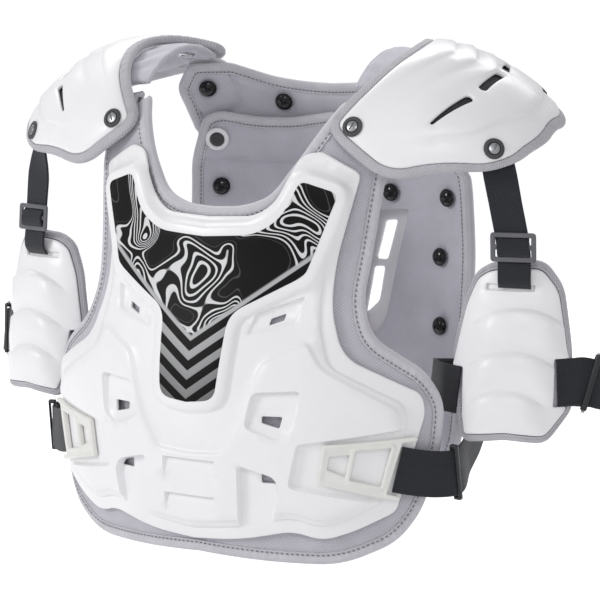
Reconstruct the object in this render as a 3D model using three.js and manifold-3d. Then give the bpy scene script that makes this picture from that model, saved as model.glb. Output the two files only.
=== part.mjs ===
// Motocross roost deflector, worn form, in millimetres.
// +Z is up, the wearer faces -Y and the wearer's left is +X.
// The origin is where it rests on the shoulders, midway between chest and back.
import * as THREE from "three";
import { mergeVertices } from "three/addons/utils/BufferGeometryUtils.js";
import Module from "manifold-3d";

const wasm = await Module();
wasm.setup();

// Torso: the surfaces that chest and back follow
const torsoHeight = 400;
const chestReach = 133;
const chestArc = 245;
const backReach = 140;
const backArc = 260;
const halfChest = 200;
const halfBack = 150;

// Moulded shells
const shellWall = 2.8;
const bodyRise = 3.6;
const bellyRise = 3.2;
const fieldRise = 4.6;
const fieldBorder = 5;
const slopeRun = 4;
const pocketDepth = 5;
const ribDepth = 3;
const recessDepth = 5.4;
const inlayThick = 0.8;

// Padding and cloth
const linerThick = 9;
const bindingWidth = 11;
const strapThick = 6;
const strapWidth = 40;
const seat = 0.6;
const linerGap = 1.5;
const overlapGap = 3.4;
const strapGap = 1.8;
const webGap = 1.7;
const rivetGap = 1.6;
const ringGap = 1.2;
const screwGap = 0.1;
const inlayGap = 2;

// Shoulder caps
const capSpan = 165;
const capArch = 110;
const capBow = 205;
const capPitch = 15.5;
const capInset = 97;
const capForward = 2;
const capRise = 15.1;
const capWall = 2.8;
const capPadThick = 4;
const capPadEdge = 9;
const capRidge = 2;
const capGap = 1.6;

// Upper-arm guards
const guardHeight = 132;
const guardHalf = 50;
const guardArc = 75;
const guardTurn = 14;
const guardLean = 10.2;
const guardOut = halfChest + 27;
const guardForward = 28;
const guardDrop = 0.5625 * torsoHeight;
const guardWall = 2.6;
const guardRidge = 2.4;
const guardPadThick = 8;
const guardPadEdge = 8;
const guardGap = 1.1;
const guardStepAcross = 24;
const guardStepDown = 44;
const bandUp = -0.215;
const notchRoom = 1;

// Straps and fittings
const webWidth = 26;
const webThick = 2;
const elasticWidth = 40;
const elasticThick = 1.8;
const clipThick = 4.6;
const slideBar = 5;
const slideThick = 8.2;
const slideRoom = 2.4;
const slideDeep = 6;
const rivetWidth = 16;
const rivetHeight = 5;
const ringWidth = 21;
const ringHeight = 2.4;
const washerWidth = 16.6;
const washerHeight = 1.8;
const headWidth = 9;
const headHeight = 1.6;
const headSlot = 1.5;

// The bend is followed by edges no longer than these
const stepAcross = 56;
const stepDown = 0.095 * torsoHeight;

// Reach of the chest in front of the shoulders at each level
const chestProfile = [
  { down: 0.06, reach: 0.5 },
  { down: 0.125, reach: 0.635 },
  { down: 0.2, reach: 0.72 },
  { down: 0.275, reach: 0.76 },
  { down: 0.375, reach: 0.8 },
  { down: 0.45, reach: 0.85 },
  { down: 0.5375, reach: 0.93 },
  { down: 0.625, reach: 0.985 },
  { down: 0.725, reach: 1.0 },
  { down: 0.85, reach: 0.985 },
  { down: 1.0, reach: 0.955 },
  { down: 1.1, reach: 0.93 },
];
const backProfile = [
  { down: -0.05, reach: 0.56 },
  { down: 0.0, reach: 0.66 },
  { down: 0.1, reach: 0.84 },
  { down: 0.2, reach: 0.94 },
  { down: 0.3, reach: 1.0 },
  { down: 0.5, reach: 1.01 },
  { down: 0.75, reach: 0.93 },
  { down: 0.9, reach: 0.87 },
  { down: 1.0, reach: 0.84 },
];

// Half outlines from the top middle round to the bottom middle. Across is a share of
// the half width, down of the torso height, round of the half width.
const shellOutline = [
  { across: 0, down: 0.304, round: 0 },
  { across: 0.2, down: 0.299, round: 0.05 },
  { across: 0.275, down: 0.272, round: 0.06 },
  { across: 0.365, down: 0.18, round: 0.05 },
  { across: 0.44, down: 0.172, round: 0.02 },
  { across: 0.605, down: 0.214, round: 0.03 },
  { across: 0.53, down: 0.3825, round: 0.08 },
  { across: 0.53, down: 0.47, round: 0.1 },
  { across: 0.6, down: 0.565, round: 0.08 },
  { across: 0.92, down: 0.638, round: 0.05 },
  { across: 0.94, down: 0.675, round: 0.04 },
  { across: 0.84, down: 0.84, round: 0.03 },
  { across: 0.82, down: 0.872, round: 0.05 },
  { across: 0.655, down: 0.91, round: 0.04 },
  { across: 0.53, down: 0.93, round: 0.06 },
  { across: 0.415, down: 0.912, round: 0.06 },
  { across: 0.2, down: 0.936, round: 0.1 },
  { across: 0, down: 0.9425, round: 0 },
];
const bodyOutline = [
  { across: 0, down: 0.317, round: 0 },
  { across: 0.21, down: 0.312, round: 0.05 },
  { across: 0.3, down: 0.282, round: 0.05 },
  { across: 0.4, down: 0.207, round: 0.03 },
  { across: 0.575, down: 0.243, round: 0.03 },
  { across: 0.495, down: 0.4, round: 0.08 },
  { across: 0.495, down: 0.49, round: 0.1 },
  { across: 0.55, down: 0.58, round: 0.05 },
  { across: 0.85, down: 0.653, round: 0.04 },
  { across: 0.875, down: 0.69, round: 0.03 },
  { across: 0.79, down: 0.85, round: 0.04 },
  { across: 0.61, down: 0.893, round: 0.04 },
  { across: 0.52, down: 0.905, round: 0.05 },
  { across: 0.41, down: 0.886, round: 0.05 },
  { across: 0.2, down: 0.912, round: 0.1 },
  { across: 0, down: 0.922, round: 0 },
];
const bellyOutline = [
  { across: 0, down: 0.76, round: 0 },
  { across: 0.14, down: 0.755, round: 0.02 },
  { across: 0.215, down: 0.685, round: 0.04 },
  { across: 0.285, down: 0.575, round: 0.04 },
  { across: 0.46, down: 0.528, round: 0.04 },
  { across: 0.525, down: 0.58, round: 0.04 },
  { across: 0.825, down: 0.66, round: 0.04 },
  { across: 0.85, down: 0.692, round: 0.03 },
  { across: 0.768, down: 0.842, round: 0.04 },
  { across: 0.6, down: 0.883, round: 0.04 },
  { across: 0.52, down: 0.894, round: 0.05 },
  { across: 0.41, down: 0.875, round: 0.05 },
  { across: 0.2, down: 0.901, round: 0.1 },
  { across: 0, down: 0.911, round: 0 },
];
const inlayOutline = [
  { across: 0, down: 0.34, round: 0 },
  { across: 0.21, down: 0.333, round: 0.06 },
  { across: 0.31, down: 0.3, round: 0.08 },
  { across: 0.395, down: 0.238, round: 0.04 },
  { across: 0.5, down: 0.26, round: 0.04 },
  { across: 0.42, down: 0.41, round: 0.03 },
  { across: 0.145, down: 0.487, round: 0.06 },
  { across: 0.13, down: 0.6, round: 0.04 },
  { across: 0.12, down: 0.655, round: 0.07 },
  { across: 0, down: 0.6625, round: 0 },
];
const linerOutline = [
  { across: 0, down: 0.286, round: 0 },
  { across: 0.13, down: 0.283, round: 0.06 },
  { across: 0.245, down: 0.262, round: 0.06 },
  { across: 0.36, down: 0.18, round: 0.06 },
  { across: 0.47, down: 0.082, round: 0.04 },
  { across: 0.51, down: 0.068, round: 0.02 },
  { across: 0.66, down: 0.078, round: 0.03 },
  { across: 0.71, down: 0.2, round: 0.06 },
  { across: 0.675, down: 0.36, round: 0.08 },
  { across: 0.655, down: 0.46, round: 0.1 },
  { across: 0.71, down: 0.53, round: 0.08 },
  { across: 0.95, down: 0.6, round: 0.08 },
  { across: 1.035, down: 0.66, round: 0.08 },
  { across: 1.02, down: 0.75, round: 0.05 },
  { across: 0.94, down: 0.875, round: 0.08 },
  { across: 0.83, down: 0.94, round: 0.12 },
  { across: 0.6, down: 0.985, round: 0.1 },
  { across: 0.3, down: 0.982, round: 0.1 },
  { across: 0, down: 0.975, round: 0 },
];
const upperBackOutline = [
  { across: 0, down: 0.063, round: 0 },
  { across: 0.18, down: 0.06, round: 0.08 },
  { across: 0.36, down: 0.05, round: 0.08 },
  { across: 0.52, down: 0.03, round: 0.08 },
  { across: 0.6, down: 0.02, round: 0.03 },
  { across: 0.86, down: 0.022, round: 0.05 },
  { across: 0.985, down: 0.08, round: 0.06 },
  { across: 0.92, down: 0.18, round: 0.04 },
  { across: 0.6, down: 0.19, round: 0.06 },
  { across: 0, down: 0.18, round: 0 },
];
const lowerBackOutline = [
  { across: 0, down: 0.125, round: 0 },
  { across: 0.27, down: 0.14, round: 0.08 },
  { across: 0.52, down: 0.14, round: 0.08 },
  { across: 0.75, down: 0.126, round: 0.06 },
  { across: 0.86, down: 0.14, round: 0.06 },
  { across: 0.98, down: 0.24, round: 0.1 },
  { across: 1.01, down: 0.42, round: 0.1 },
  { across: 0.985, down: 0.64, round: 0.1 },
  { across: 0.97, down: 0.81, round: 0.08 },
  { across: 0.9, down: 0.875, round: 0.08 },
  { across: 0.7, down: 0.93, round: 0.1 },
  { across: 0, down: 0.95, round: 0 },
];
const backShellOutline = [
  { across: 0, down: 0.1, round: 0 },
  { across: 0.3, down: 0.095, round: 0.08 },
  { across: 0.52, down: 0.06, round: 0.08 },
  { across: 0.66, down: 0.0095, round: 0.04 },
  { across: 0.87, down: 0.0175, round: 0.04 },
  { across: 0.93, down: 0.1, round: 0.06 },
  { across: 0.9, down: 0.25, round: 0.1 },
  { across: 0.94, down: 0.42, round: 0.1 },
  { across: 0.92, down: 0.64, round: 0.1 },
  { across: 0.91, down: 0.8, round: 0.08 },
  { across: 0.82, down: 0.87, round: 0.08 },
  { across: 0.6, down: 0.91, round: 0.1 },
  { across: 0, down: 0.925, round: 0 },
];
const backFieldOutline = [
  { across: 0, down: 0.14, round: 0 },
  { across: 0.5, down: 0.11, round: 0.06 },
  { across: 0.72, down: 0.07, round: 0.04 },
  { across: 0.8, down: 0.1, round: 0.04 },
  { across: 0.78, down: 0.3, round: 0.1 },
  { across: 0.83, down: 0.45, round: 0.1 },
  { across: 0.8, down: 0.78, round: 0.08 },
  { across: 0.5, down: 0.86, round: 0.08 },
  { across: 0, down: 0.88, round: 0 },
];
const spineOutline = [
  { across: 0, down: 0.19, round: 0 },
  { across: 0.12, down: 0.2, round: 0.02 },
  { across: 0.08, down: 0.5, round: 0.04 },
  { across: 0.14, down: 0.8, round: 0.04 },
  { across: 0, down: 0.82, round: 0 },
];
// The slanted opening in the lower back liner, one on each side
const ventOutline = [
  { across: 0.16, down: 0.345, round: 0.03 },
  { across: 0.455, down: 0.335, round: 0.03 },
  { across: 0.37, down: 0.44, round: 0.06 },
  { across: 0.29, down: 0.58, round: 0.03 },
  { across: 0.2, down: 0.625, round: 0.03 },
  { across: 0.06, down: 0.6, round: 0.03 },
];
// The see-through slots of the back plate inside it
const backSlots = [
  [
    { across: 0.226, down: 0.368, round: 0.01 },
    { across: 0.312, down: 0.364, round: 0.01 },
    { across: 0.239, down: 0.455, round: 0.01 },
    { across: 0.162, down: 0.455, round: 0.01 },
  ],
  [
    { across: 0.147, down: 0.473, round: 0.01 },
    { across: 0.223, down: 0.47, round: 0.01 },
    { across: 0.189, down: 0.548, round: 0.01 },
    { across: 0.105, down: 0.577, round: 0.01 },
  ],
];

// Vent pockets of the chest plate: an outline, the floor's depth as a share of the
// pocket depth, and the window through its floor
const chestPockets = [
  {
    depth: 0.9,
    pocket: [
      { across: 0.245, down: 0.483, round: 0.01 },
      { across: 0.43, down: 0.448, round: 0.01 },
      { across: 0.405, down: 0.5, round: 0.01 },
      { across: 0.215, down: 0.53, round: 0.01 },
    ],
    window: [
      { across: 0.305, down: 0.496, round: 0 },
      { across: 0.36, down: 0.485, round: 0 },
      { across: 0.353, down: 0.499, round: 0 },
      { across: 0.297, down: 0.509, round: 0 },
    ],
  },
  {
    depth: 1,
    pocket: [
      { across: 0.265, down: 0.634, round: 0.02 },
      { across: 0.455, down: 0.627, round: 0.02 },
      { across: 0.43, down: 0.712, round: 0.03 },
      { across: 0.37, down: 0.729, round: 0.02 },
      { across: 0.235, down: 0.703, round: 0.02 },
    ],
    window: [
      { across: 0.303, down: 0.682, round: 0 },
      { across: 0.383, down: 0.682, round: 0 },
      { across: 0.373, down: 0.704, round: 0 },
      { across: 0.303, down: 0.695, round: 0 },
    ],
  },
  {
    depth: 1.15,
    pocket: [
      { across: 0.205, down: 0.779, round: 0.02 },
      { across: 0.355, down: 0.8, round: 0.02 },
      { across: 0.372, down: 0.822, round: 0.01 },
      { across: 0.315, down: 0.94, round: 0 },
      { across: 0.205, down: 0.945, round: 0 },
    ],
    window: [
      { across: 0.297, down: 0.797, round: 0 },
      { across: 0.345, down: 0.804, round: 0 },
      { across: 0.36, down: 0.816, round: 0 },
      { across: 0.297, down: 0.816, round: 0 },
    ],
  },
];
const ribPockets = [
  { half: 0.115, top: 0.776, bottom: 0.832 },
  { half: 0.112, top: 0.85, bottom: 0.893 },
];
const clipRecess = [
  { across: 0.44, down: 0.732, round: 0.02 },
  { across: 0.92, down: 0.697, round: 0 },
  { across: 1.1, down: 0.697, round: 0 },
  { across: 1.1, down: 0.9, round: 0 },
  { across: 0.86, down: 0.862, round: 0 },
  { across: 0.4, down: 0.822, round: 0.03 },
];
const clipOutline = [
  { across: 0.54, down: 0.734, round: 0.01 },
  { across: 0.905, down: 0.72, round: 0.01 },
  { across: 0.9, down: 0.7285, round: 0 },
  { across: 0.842, down: 0.7315, round: 0 },
  { across: 0.7795, down: 0.832, round: 0 },
  { across: 0.83, down: 0.839, round: 0 },
  { across: 0.825, down: 0.849, round: 0.01 },
  { across: 0.515, down: 0.812, round: 0.01 },
];
const clipWindow = [
  { across: 0.665, down: 0.745, round: 0 },
  { across: 0.8, down: 0.7405, round: 0 },
  { across: 0.757, down: 0.8175, round: 0 },
  { across: 0.64, down: 0.8035, round: 0 },
];
const clipNotch = [
  { across: 0.565, down: 0.757, round: 0 },
  { across: 0.64, down: 0.7535, round: 0 },
  { across: 0.622, down: 0.797, round: 0 },
  { across: 0.555, down: 0.783, round: 0 },
];

// Cap outline: out is a share of the cap's span from its inner edge, along a share of the
// arch radius from the crest towards the front (minus) and the back
const capOutline = [
  { out: 0.0, along: -0.89, round: 0.04 },
  { out: 0.05, along: -0.97, round: 0.04 },
  { out: 0.29, along: -1.22, round: 0.1 },
  { out: 0.5, along: -1.13, round: 0.1 },
  { out: 0.75, along: -1.1, round: 0.06 },
  { out: 0.86, along: -0.97, round: 0.08 },
  { out: 0.97, along: -0.55, round: 0.14 },
  { out: 0.985, along: 0.38, round: 0.14 },
  { out: 0.84, along: 0.85, round: 0.12 },
  { out: 0.5, along: 0.95, round: 0.14 },
  { out: 0.2, along: 0.93, round: 0.14 },
  { out: 0.0, along: 0.75, round: 0.06 },
  { out: 0.12, along: 0.56, round: 0.08 },
  { out: 0.23, along: 0.25, round: 0.12 },
  { out: 0.24, along: -0.1, round: 0.12 },
  { out: 0.16, along: -0.5, round: 0.12 },
];
const capRidges = [
  [
    { out: 0.2, along: -0.62, round: 0.02 },
    { out: 0.3, along: -0.35, round: 0.1 },
    { out: 0.36, along: 0.0, round: 0.1 },
    { out: 0.3, along: 0.4, round: 0.1 },
    { out: 0.2, along: 0.65, round: 0.02 },
    { out: 0.25, along: 0.4, round: 0.1 },
    { out: 0.29, along: 0.0, round: 0.1 },
    { out: 0.25, along: -0.35, round: 0.1 },
  ],
  [
    { out: 0.31, along: -0.66, round: 0.02 },
    { out: 0.42, along: -0.35, round: 0.1 },
    { out: 0.48, along: 0.0, round: 0.1 },
    { out: 0.42, along: 0.4, round: 0.1 },
    { out: 0.31, along: 0.68, round: 0.02 },
    { out: 0.36, along: 0.4, round: 0.1 },
    { out: 0.41, along: 0.0, round: 0.1 },
    { out: 0.36, along: -0.35, round: 0.1 },
  ],
];
const capSlots = [
  { fromOut: 0.455, fromAlong: -0.82, fromWidth: 0.016, toOut: 0.6, toAlong: -0.47, toWidth: 0.042 },
  { fromOut: 0.625, fromAlong: -0.34, fromWidth: 0.042, toOut: 0.655, toAlong: 0.04, toWidth: 0.042 },
  { fromOut: 0.65, fromAlong: 0.15, fromWidth: 0.042, toOut: 0.56, toAlong: 0.6, toWidth: 0.02 },
];
const capScrews = [
  { name: "inner_front", out: 0.085, along: -0.91 },
  { name: "outer_front", out: 0.765, along: -0.93 },
  { name: "inner_back", out: 0.085, along: 0.79 },
  { name: "outer_back", out: 0.72, along: 0.76 },
];

// Guard outline: out is a share of its half width (outward), up a share of its height
const notchHalf = (elasticWidth / 2 + notchRoom) / guardHeight;
const guardOutline = [
  { out: -0.42, up: 0.48, round: 0.14 },
  { out: 0.36, up: 0.5, round: 0.14 },
  { out: 0.66, up: 0.37, round: 0.16 },
  { out: 0.88, up: 0.02, round: 0.2 },
  { out: 0.93, up: bandUp + notchHalf, round: 0 },
  { out: 0.68, up: bandUp + notchHalf, round: 0 },
  { out: 0.72, up: bandUp - notchHalf, round: 0 },
  { out: 0.98, up: bandUp - notchHalf, round: 0.1 },
  { out: 0.62, up: -0.48, round: 0.1 },
  { out: 0.0, up: -0.46, round: 0.1 },
  { out: -0.66, up: -0.49, round: 0.06 },
  { out: -0.74, up: bandUp - notchHalf, round: 0 },
  { out: -0.8, up: bandUp + notchHalf, round: 0 },
  { out: -1.02, up: bandUp + notchHalf, round: 0.02 },
  { out: -0.82, up: 0.27, round: 0.16 },
  { out: -0.64, up: 0.43, round: 0.1 },
];
const guardSteps = [
  { peak: 0.27, foot: 0.08 },
  { peak: 0.015, foot: -0.16 },
  { peak: -0.215, foot: -0.37 },
];
const guardSlot = { half: 0.42, centre: -0.06, up: 0.375, high: 0.036 };

// A table of levels read as a smooth curve
function profileAt(rows, down) {
  let i = 0;
  while (i < rows.length - 2 && down > rows[i + 1].down) i += 1;
  const slope = (k) => {
    const a = rows[Math.max(k - 1, 0)];
    const b = rows[Math.min(k + 1, rows.length - 1)];
    return (b.reach - a.reach) / (b.down - a.down);
  };
  const a = rows[i];
  const b = rows[i + 1];
  const step = b.down - a.down;
  const t = (down - a.down) / step;
  if (t < 0) return a.reach + slope(i) * (down - a.down);
  if (t > 1) return b.reach + slope(i + 1) * (down - b.down);
  const tt = t * t;
  const ttt = tt * t;
  return (
    (2 * ttt - 3 * tt + 1) * a.reach +
    (ttt - 2 * tt + t) * step * slope(i) +
    (3 * tt - 2 * ttt) * b.reach +
    (ttt - tt) * step * slope(i + 1)
  );
}

// A point of the chest: u along the surface from the middle, z the level, h outward
function chestPoint(u, z, h) {
  const y = -chestReach * profileAt(chestProfile, -z / torsoHeight);
  const a = u / chestArc;
  return new THREE.Vector3((chestArc + h) * Math.sin(a), y + chestArc - (chestArc + h) * Math.cos(a), z);
}

function backPoint(u, z, h) {
  const y = backReach * profileAt(backProfile, -z / torsoHeight);
  const a = u / backArc;
  return new THREE.Vector3((backArc + h) * Math.sin(a), y - backArc + (backArc + h) * Math.cos(a), z);
}

// The lower back liner steps inward over the upper one near its top edge
const stepStart = 0.255 * torsoHeight;
const stepEnd = 0.205 * torsoHeight;
function lowerBackPoint(u, z, h) {
  const k = THREE.MathUtils.smoothstep(-z, stepEnd, stepStart);
  return backPoint(u, z, h - (1 - k) * (linerThick + overlapGap));
}

// A point of the left cap: s outward from the inner edge, t along the arch, h outward
const capTilt = THREE.MathUtils.degToRad(capPitch);
function capPoint(s, t, h) {
  const a = s / capBow;
  const b = t / capArch;
  const x = (capBow + h) * Math.sin(a);
  const r = capArch - capBow + (capBow + h) * Math.cos(a);
  const y = r * Math.sin(b);
  const z = r * Math.cos(b) - capArch;
  return new THREE.Vector3(
    capInset + x,
    -capForward + y * Math.cos(capTilt) - z * Math.sin(capTilt),
    capRise + y * Math.sin(capTilt) + z * Math.cos(capTilt),
  );
}

// A point of the left arm guard: s outward round it, t upward, h forward
const guardYaw = THREE.MathUtils.degToRad(guardTurn);
const guardRake = Math.tan(THREE.MathUtils.degToRad(guardLean));
function guardPoint(s, t, h) {
  const a = s / guardArc;
  const side = (guardArc + h) * Math.sin(a);
  const front = (guardArc + h) * Math.cos(a) - guardArc;
  return new THREE.Vector3(
    guardOut + side * Math.cos(guardYaw) + front * Math.sin(guardYaw),
    -guardForward + side * Math.sin(guardYaw) - front * Math.cos(guardYaw) + t * guardRake,
    -guardDrop + t,
  );
}

// A ring is a list of corners { x, y, r } in order against the clock, r rounding each one.
// No arc steps leaves every corner sharp.
function ringPoints(ring, arcSteps) {
  const points = [];
  ring.forEach((c, i) => {
    const here = new THREE.Vector2(c.x, c.y);
    if (c.r <= 0 || arcSteps === 0) {
      points.push(here);
      return;
    }
    const before = ring[(i + ring.length - 1) % ring.length];
    const after = ring[(i + 1) % ring.length];
    const back = new THREE.Vector2(before.x, before.y).sub(here);
    const ahead = new THREE.Vector2(after.x, after.y).sub(here);
    const cut = Math.min(c.r, 0.45 * back.length(), 0.45 * ahead.length());
    const p = here.clone().addScaledVector(back.normalize(), cut);
    const q = here.clone().addScaledVector(ahead.normalize(), cut);
    points.push(...new THREE.QuadraticBezierCurve(p, here, q).getPoints(arcSteps));
  });
  return points;
}

function ringOf(corners) {
  return THREE.ShapeUtils.isClockWise(corners) ? corners.reverse() : corners;
}

function sideRing(rows, half, height) {
  return ringOf(rows.map((r) => ({ x: r.across * half, y: -r.down * height, r: r.round * half })));
}

// Both halves of an outline whose first and last rows lie on the middle line
function wholeRing(rows, half, height) {
  const right = rows.map((r) => ({ x: r.across * half, y: -r.down * height, r: r.round * half }));
  const left = right
    .slice(1, -1)
    .reverse()
    .map((c) => ({ x: -c.x, y: c.y, r: c.r }));
  return ringOf([...right, ...left]);
}

function mirrorRing(ring) {
  return ring.map((c) => ({ x: -c.x, y: c.y, r: c.r })).reverse();
}

// A ring moved inward by a distance (outward when negative)
function insetRing(ring, distance) {
  const n = ring.length;
  return ring.map((c, i) => {
    const before = ring[(i + n - 1) % n];
    const after = ring[(i + 1) % n];
    const a = new THREE.Vector2(c.x - before.x, c.y - before.y).normalize();
    const b = new THREE.Vector2(after.x - c.x, after.y - c.y).normalize();
    const normal = new THREE.Vector2(-a.y - b.y, a.x + b.x).normalize();
    const spread = Math.max(0.6, normal.dot(new THREE.Vector2(-a.y, a.x)));
    const turn = a.cross(b);
    const r = c.r > 0 ? Math.max(0.3, c.r - distance * turn) : 0;
    return { x: c.x + (normal.x * distance) / spread, y: c.y + (normal.y * distance) / spread, r };
  });
}

function solidOf(geometry) {
  const bare = new THREE.BufferGeometry();
  bare.setAttribute("position", geometry.getAttribute("position"));
  if (geometry.index) bare.setIndex(geometry.index);
  const merged = mergeVertices(bare, 1e-4);
  return new wasm.Manifold(
    new wasm.Mesh({
      numProp: 3,
      vertProperties: new Float32Array(merged.getAttribute("position").array),
      triVerts: new Uint32Array(merged.index.array),
    }),
  );
}

function geometryOf(solid) {
  const mesh = solid.getMesh();
  const geometry = new THREE.BufferGeometry();
  geometry.setAttribute("position", new THREE.BufferAttribute(new Float32Array(mesh.vertProperties), 3));
  geometry.setIndex(new THREE.BufferAttribute(new Uint32Array(mesh.triVerts), 1));
  return geometry;
}

// A closed solid through rings of as many corners each, lowest first
function loft(layers, arcSteps) {
  const outlines = layers.map((layer) => ringPoints(layer.ring, arcSteps));
  const n = outlines[0].length;
  const positions = [];
  outlines.forEach((outline, k) => {
    const { level } = layers[k];
    for (const p of outline) positions.push(p.x, p.y, typeof level === "function" ? level(p.x, p.y) : level);
  });
  const index = [];
  for (let k = 0; k < layers.length - 1; k += 1)
    for (let i = 0; i < n; i += 1) {
      const j = (i + 1) % n;
      const a = k * n + i;
      const b = k * n + j;
      index.push(a, b, b + n, a, b + n, a + n);
    }
  const widest = Math.max(0, layers.findIndex((layer) => layer.whole));
  const top = (layers.length - 1) * n;
  for (const [a, b, c] of THREE.ShapeUtils.triangulateShape(outlines[widest], [])) {
    index.push(c, b, a);
    index.push(top + a, top + b, top + c);
  }
  return new wasm.Manifold(
    new wasm.Mesh({
      numProp: 3,
      vertProperties: new Float32Array(positions),
      triVerts: new Uint32Array(index),
    }),
  );
}

const prism = (ring, low, high, arcSteps = 2) =>
  loft(
    [
      { ring, level: low },
      { ring, level: high },
    ],
    arcSteps,
  );

// Far above and below every surface in the flat state
const far = 60;
const plateau = (ring, foot, top, run = slopeRun) =>
  loft(
    [
      { ring, level: -far },
      { ring, level: foot },
      { ring: insetRing(ring, run), level: top },
    ],
    0,
  );
const pocket = (ring, floor, brim, run = slopeRun) =>
  loft(
    [
      { ring: insetRing(ring, run), level: floor },
      { ring, level: brim, whole: true },
      { ring, level: far },
    ],
    0,
  );

// Splits every side longer than the steps, so that the faces can follow a bend. Between
// the splits, the shared side of two triangles in one plane is turned wherever that makes
// them rounder.
function refine(geometry, across, down) {
  const source = geometry.getAttribute("position");
  const points = [];
  for (let i = 0; i < source.count; i += 1)
    points.push(new THREE.Vector3(source.getX(i) / across, source.getY(i) / down, source.getZ(i) / across));
  const faces = [];
  const flat = geometry.index.array;
  for (let i = 0; i < flat.length; i += 3) faces.push([flat[i], flat[i + 1], flat[i + 2]]);
  const facing = (a, b, c) =>
    new THREE.Vector3()
      .subVectors(points[b], points[a])
      .cross(new THREE.Vector3().subVectors(points[c], points[a]));
  const slant = (tip, a, b) => {
    const p = new THREE.Vector3().subVectors(points[a], points[tip]);
    const q = new THREE.Vector3().subVectors(points[b], points[tip]);
    return p.dot(q) / Math.max(new THREE.Vector3().crossVectors(p, q).length(), 1e-12);
  };
  // Each shared side once, with the faces on both sides and their far corners
  const shared = () => {
    const sides = new Map();
    faces.forEach((face, f) => {
      for (let i = 0; i < 3; i += 1) sides.set(face[i] + "_" + face[(i + 1) % 3], [f, face[(i + 2) % 3]]);
    });
    const found = [];
    for (const [key, [f, c]] of sides) {
      const [a, b] = key.split("_").map(Number);
      if (a > b) continue;
      const [g, d] = sides.get(b + "_" + a);
      found.push({ a, b, c, d, f, g });
    }
    return { sides, found };
  };
  const turnPass = () => {
    const { sides, found } = shared();
    const touched = new Set();
    for (const { a, b, c, d, f, g } of found) {
      if (touched.has(f) || touched.has(g) || sides.has(c + "_" + d) || sides.has(d + "_" + c)) continue;
      if (slant(c, a, b) + slant(d, a, b) > -1e-4) continue;
      const first = facing(a, b, c).normalize();
      if (first.dot(facing(b, a, d).normalize()) < 0.99999) continue;
      if (first.dot(facing(c, a, d)) < 1e-7 || first.dot(facing(d, b, c)) < 1e-7) continue;
      faces[f] = [c, a, d];
      faces[g] = [d, b, c];
      touched.add(f).add(g);
    }
    return touched.size;
  };
  const splitPass = () => {
    const touched = new Set();
    const long = shared()
      .found.map((side) => ({ ...side, size: points[side.a].distanceTo(points[side.b]) }))
      .filter((side) => side.size > 1)
      .sort((p, q) => q.size - p.size);
    for (const { a, b, c, d, f, g } of long) {
      if (touched.has(f) || touched.has(g)) continue;
      const m = points.length;
      points.push(points[a].clone().add(points[b]).multiplyScalar(0.5));
      faces[f] = [a, m, c];
      faces[g] = [b, m, d];
      faces.push([m, b, c], [m, a, d]);
      touched.add(f).add(g);
    }
    return touched.size;
  };
  for (let round = 0; round < 30; round += 1) {
    for (let pass = 0; pass < 20 && turnPass() > 0; pass += 1);
    if (splitPass() === 0) break;
  }
  const out = new THREE.BufferGeometry();
  const positions = points.flatMap((p) => [p.x * across, p.y * down, p.z * across]);
  out.setAttribute("position", new THREE.BufferAttribute(new Float32Array(positions), 3));
  out.setIndex(faces.flat());
  return out;
}

// A flat solid is laid on a surface by a function of (u, z, h)
function bend(solid, surface, across = stepAcross, down = stepDown) {
  const geometry = refine(geometryOf(solid), across, down);
  const position = geometry.getAttribute("position");
  for (let i = 0; i < position.count; i += 1) {
    const p = surface(position.getX(i), position.getY(i), position.getZ(i));
    position.setXYZ(i, p.x, p.y, p.z);
  }
  return geometry;
}

function turnFaces(geometry) {
  const index = geometry.index.array;
  for (let i = 0; i < index.length; i += 3) [index[i + 1], index[i + 2]] = [index[i + 2], index[i + 1]];
  return geometry;
}

function mirrored(geometry) {
  const copy = geometry.clone();
  if (!copy.index) copy.setIndex([...Array(copy.getAttribute("position").count).keys()]);
  copy.applyMatrix4(new THREE.Matrix4().makeScale(-1, 1, 1));
  return turnFaces(copy);
}

// A closed solid swept through sections, each a ring of points in space
function sweep(sections, closed = false) {
  const n = sections[0].length;
  const positions = sections.flat().flatMap((p) => [p.x, p.y, p.z]);
  const index = [];
  const spans = closed ? sections.length : sections.length - 1;
  for (let k = 0; k < spans; k += 1)
    for (let i = 0; i < n; i += 1) {
      const j = (i + 1) % n;
      const next = ((k + 1) % sections.length) * n;
      index.push(k * n + i, k * n + j, next + j, k * n + i, next + j, next + i);
    }
  if (!closed)
    for (let i = 1; i < n - 1; i += 1) {
      const last = (sections.length - 1) * n;
      index.push(0, i + 1, i);
      index.push(last, last + i, last + i + 1);
    }
  const geometry = new THREE.BufferGeometry();
  geometry.setAttribute("position", new THREE.BufferAttribute(new Float32Array(positions), 3));
  geometry.setIndex(index);
  return geometry;
}

// A flat strap of one width and thickness along points, with a width direction at each
function ribbon(stations, width, thick) {
  const sections = stations.map((s, i) => {
    const before = stations[Math.max(i - 1, 0)].at;
    const after = stations[Math.min(i + 1, stations.length - 1)].at;
    const along = after.clone().sub(before).normalize();
    const across = s.across.clone().addScaledVector(along, -s.across.dot(along)).normalize();
    const normal = new THREE.Vector3().crossVectors(along, across).normalize();
    const corner = (a, b) =>
      s.at
        .clone()
        .addScaledVector(across, (a * width) / 2)
        .addScaledVector(normal, (b * thick) / 2);
    return [corner(-1, -1), corner(1, -1), corner(1, 1), corner(-1, 1)];
  });
  return sweep(sections);
}

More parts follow.
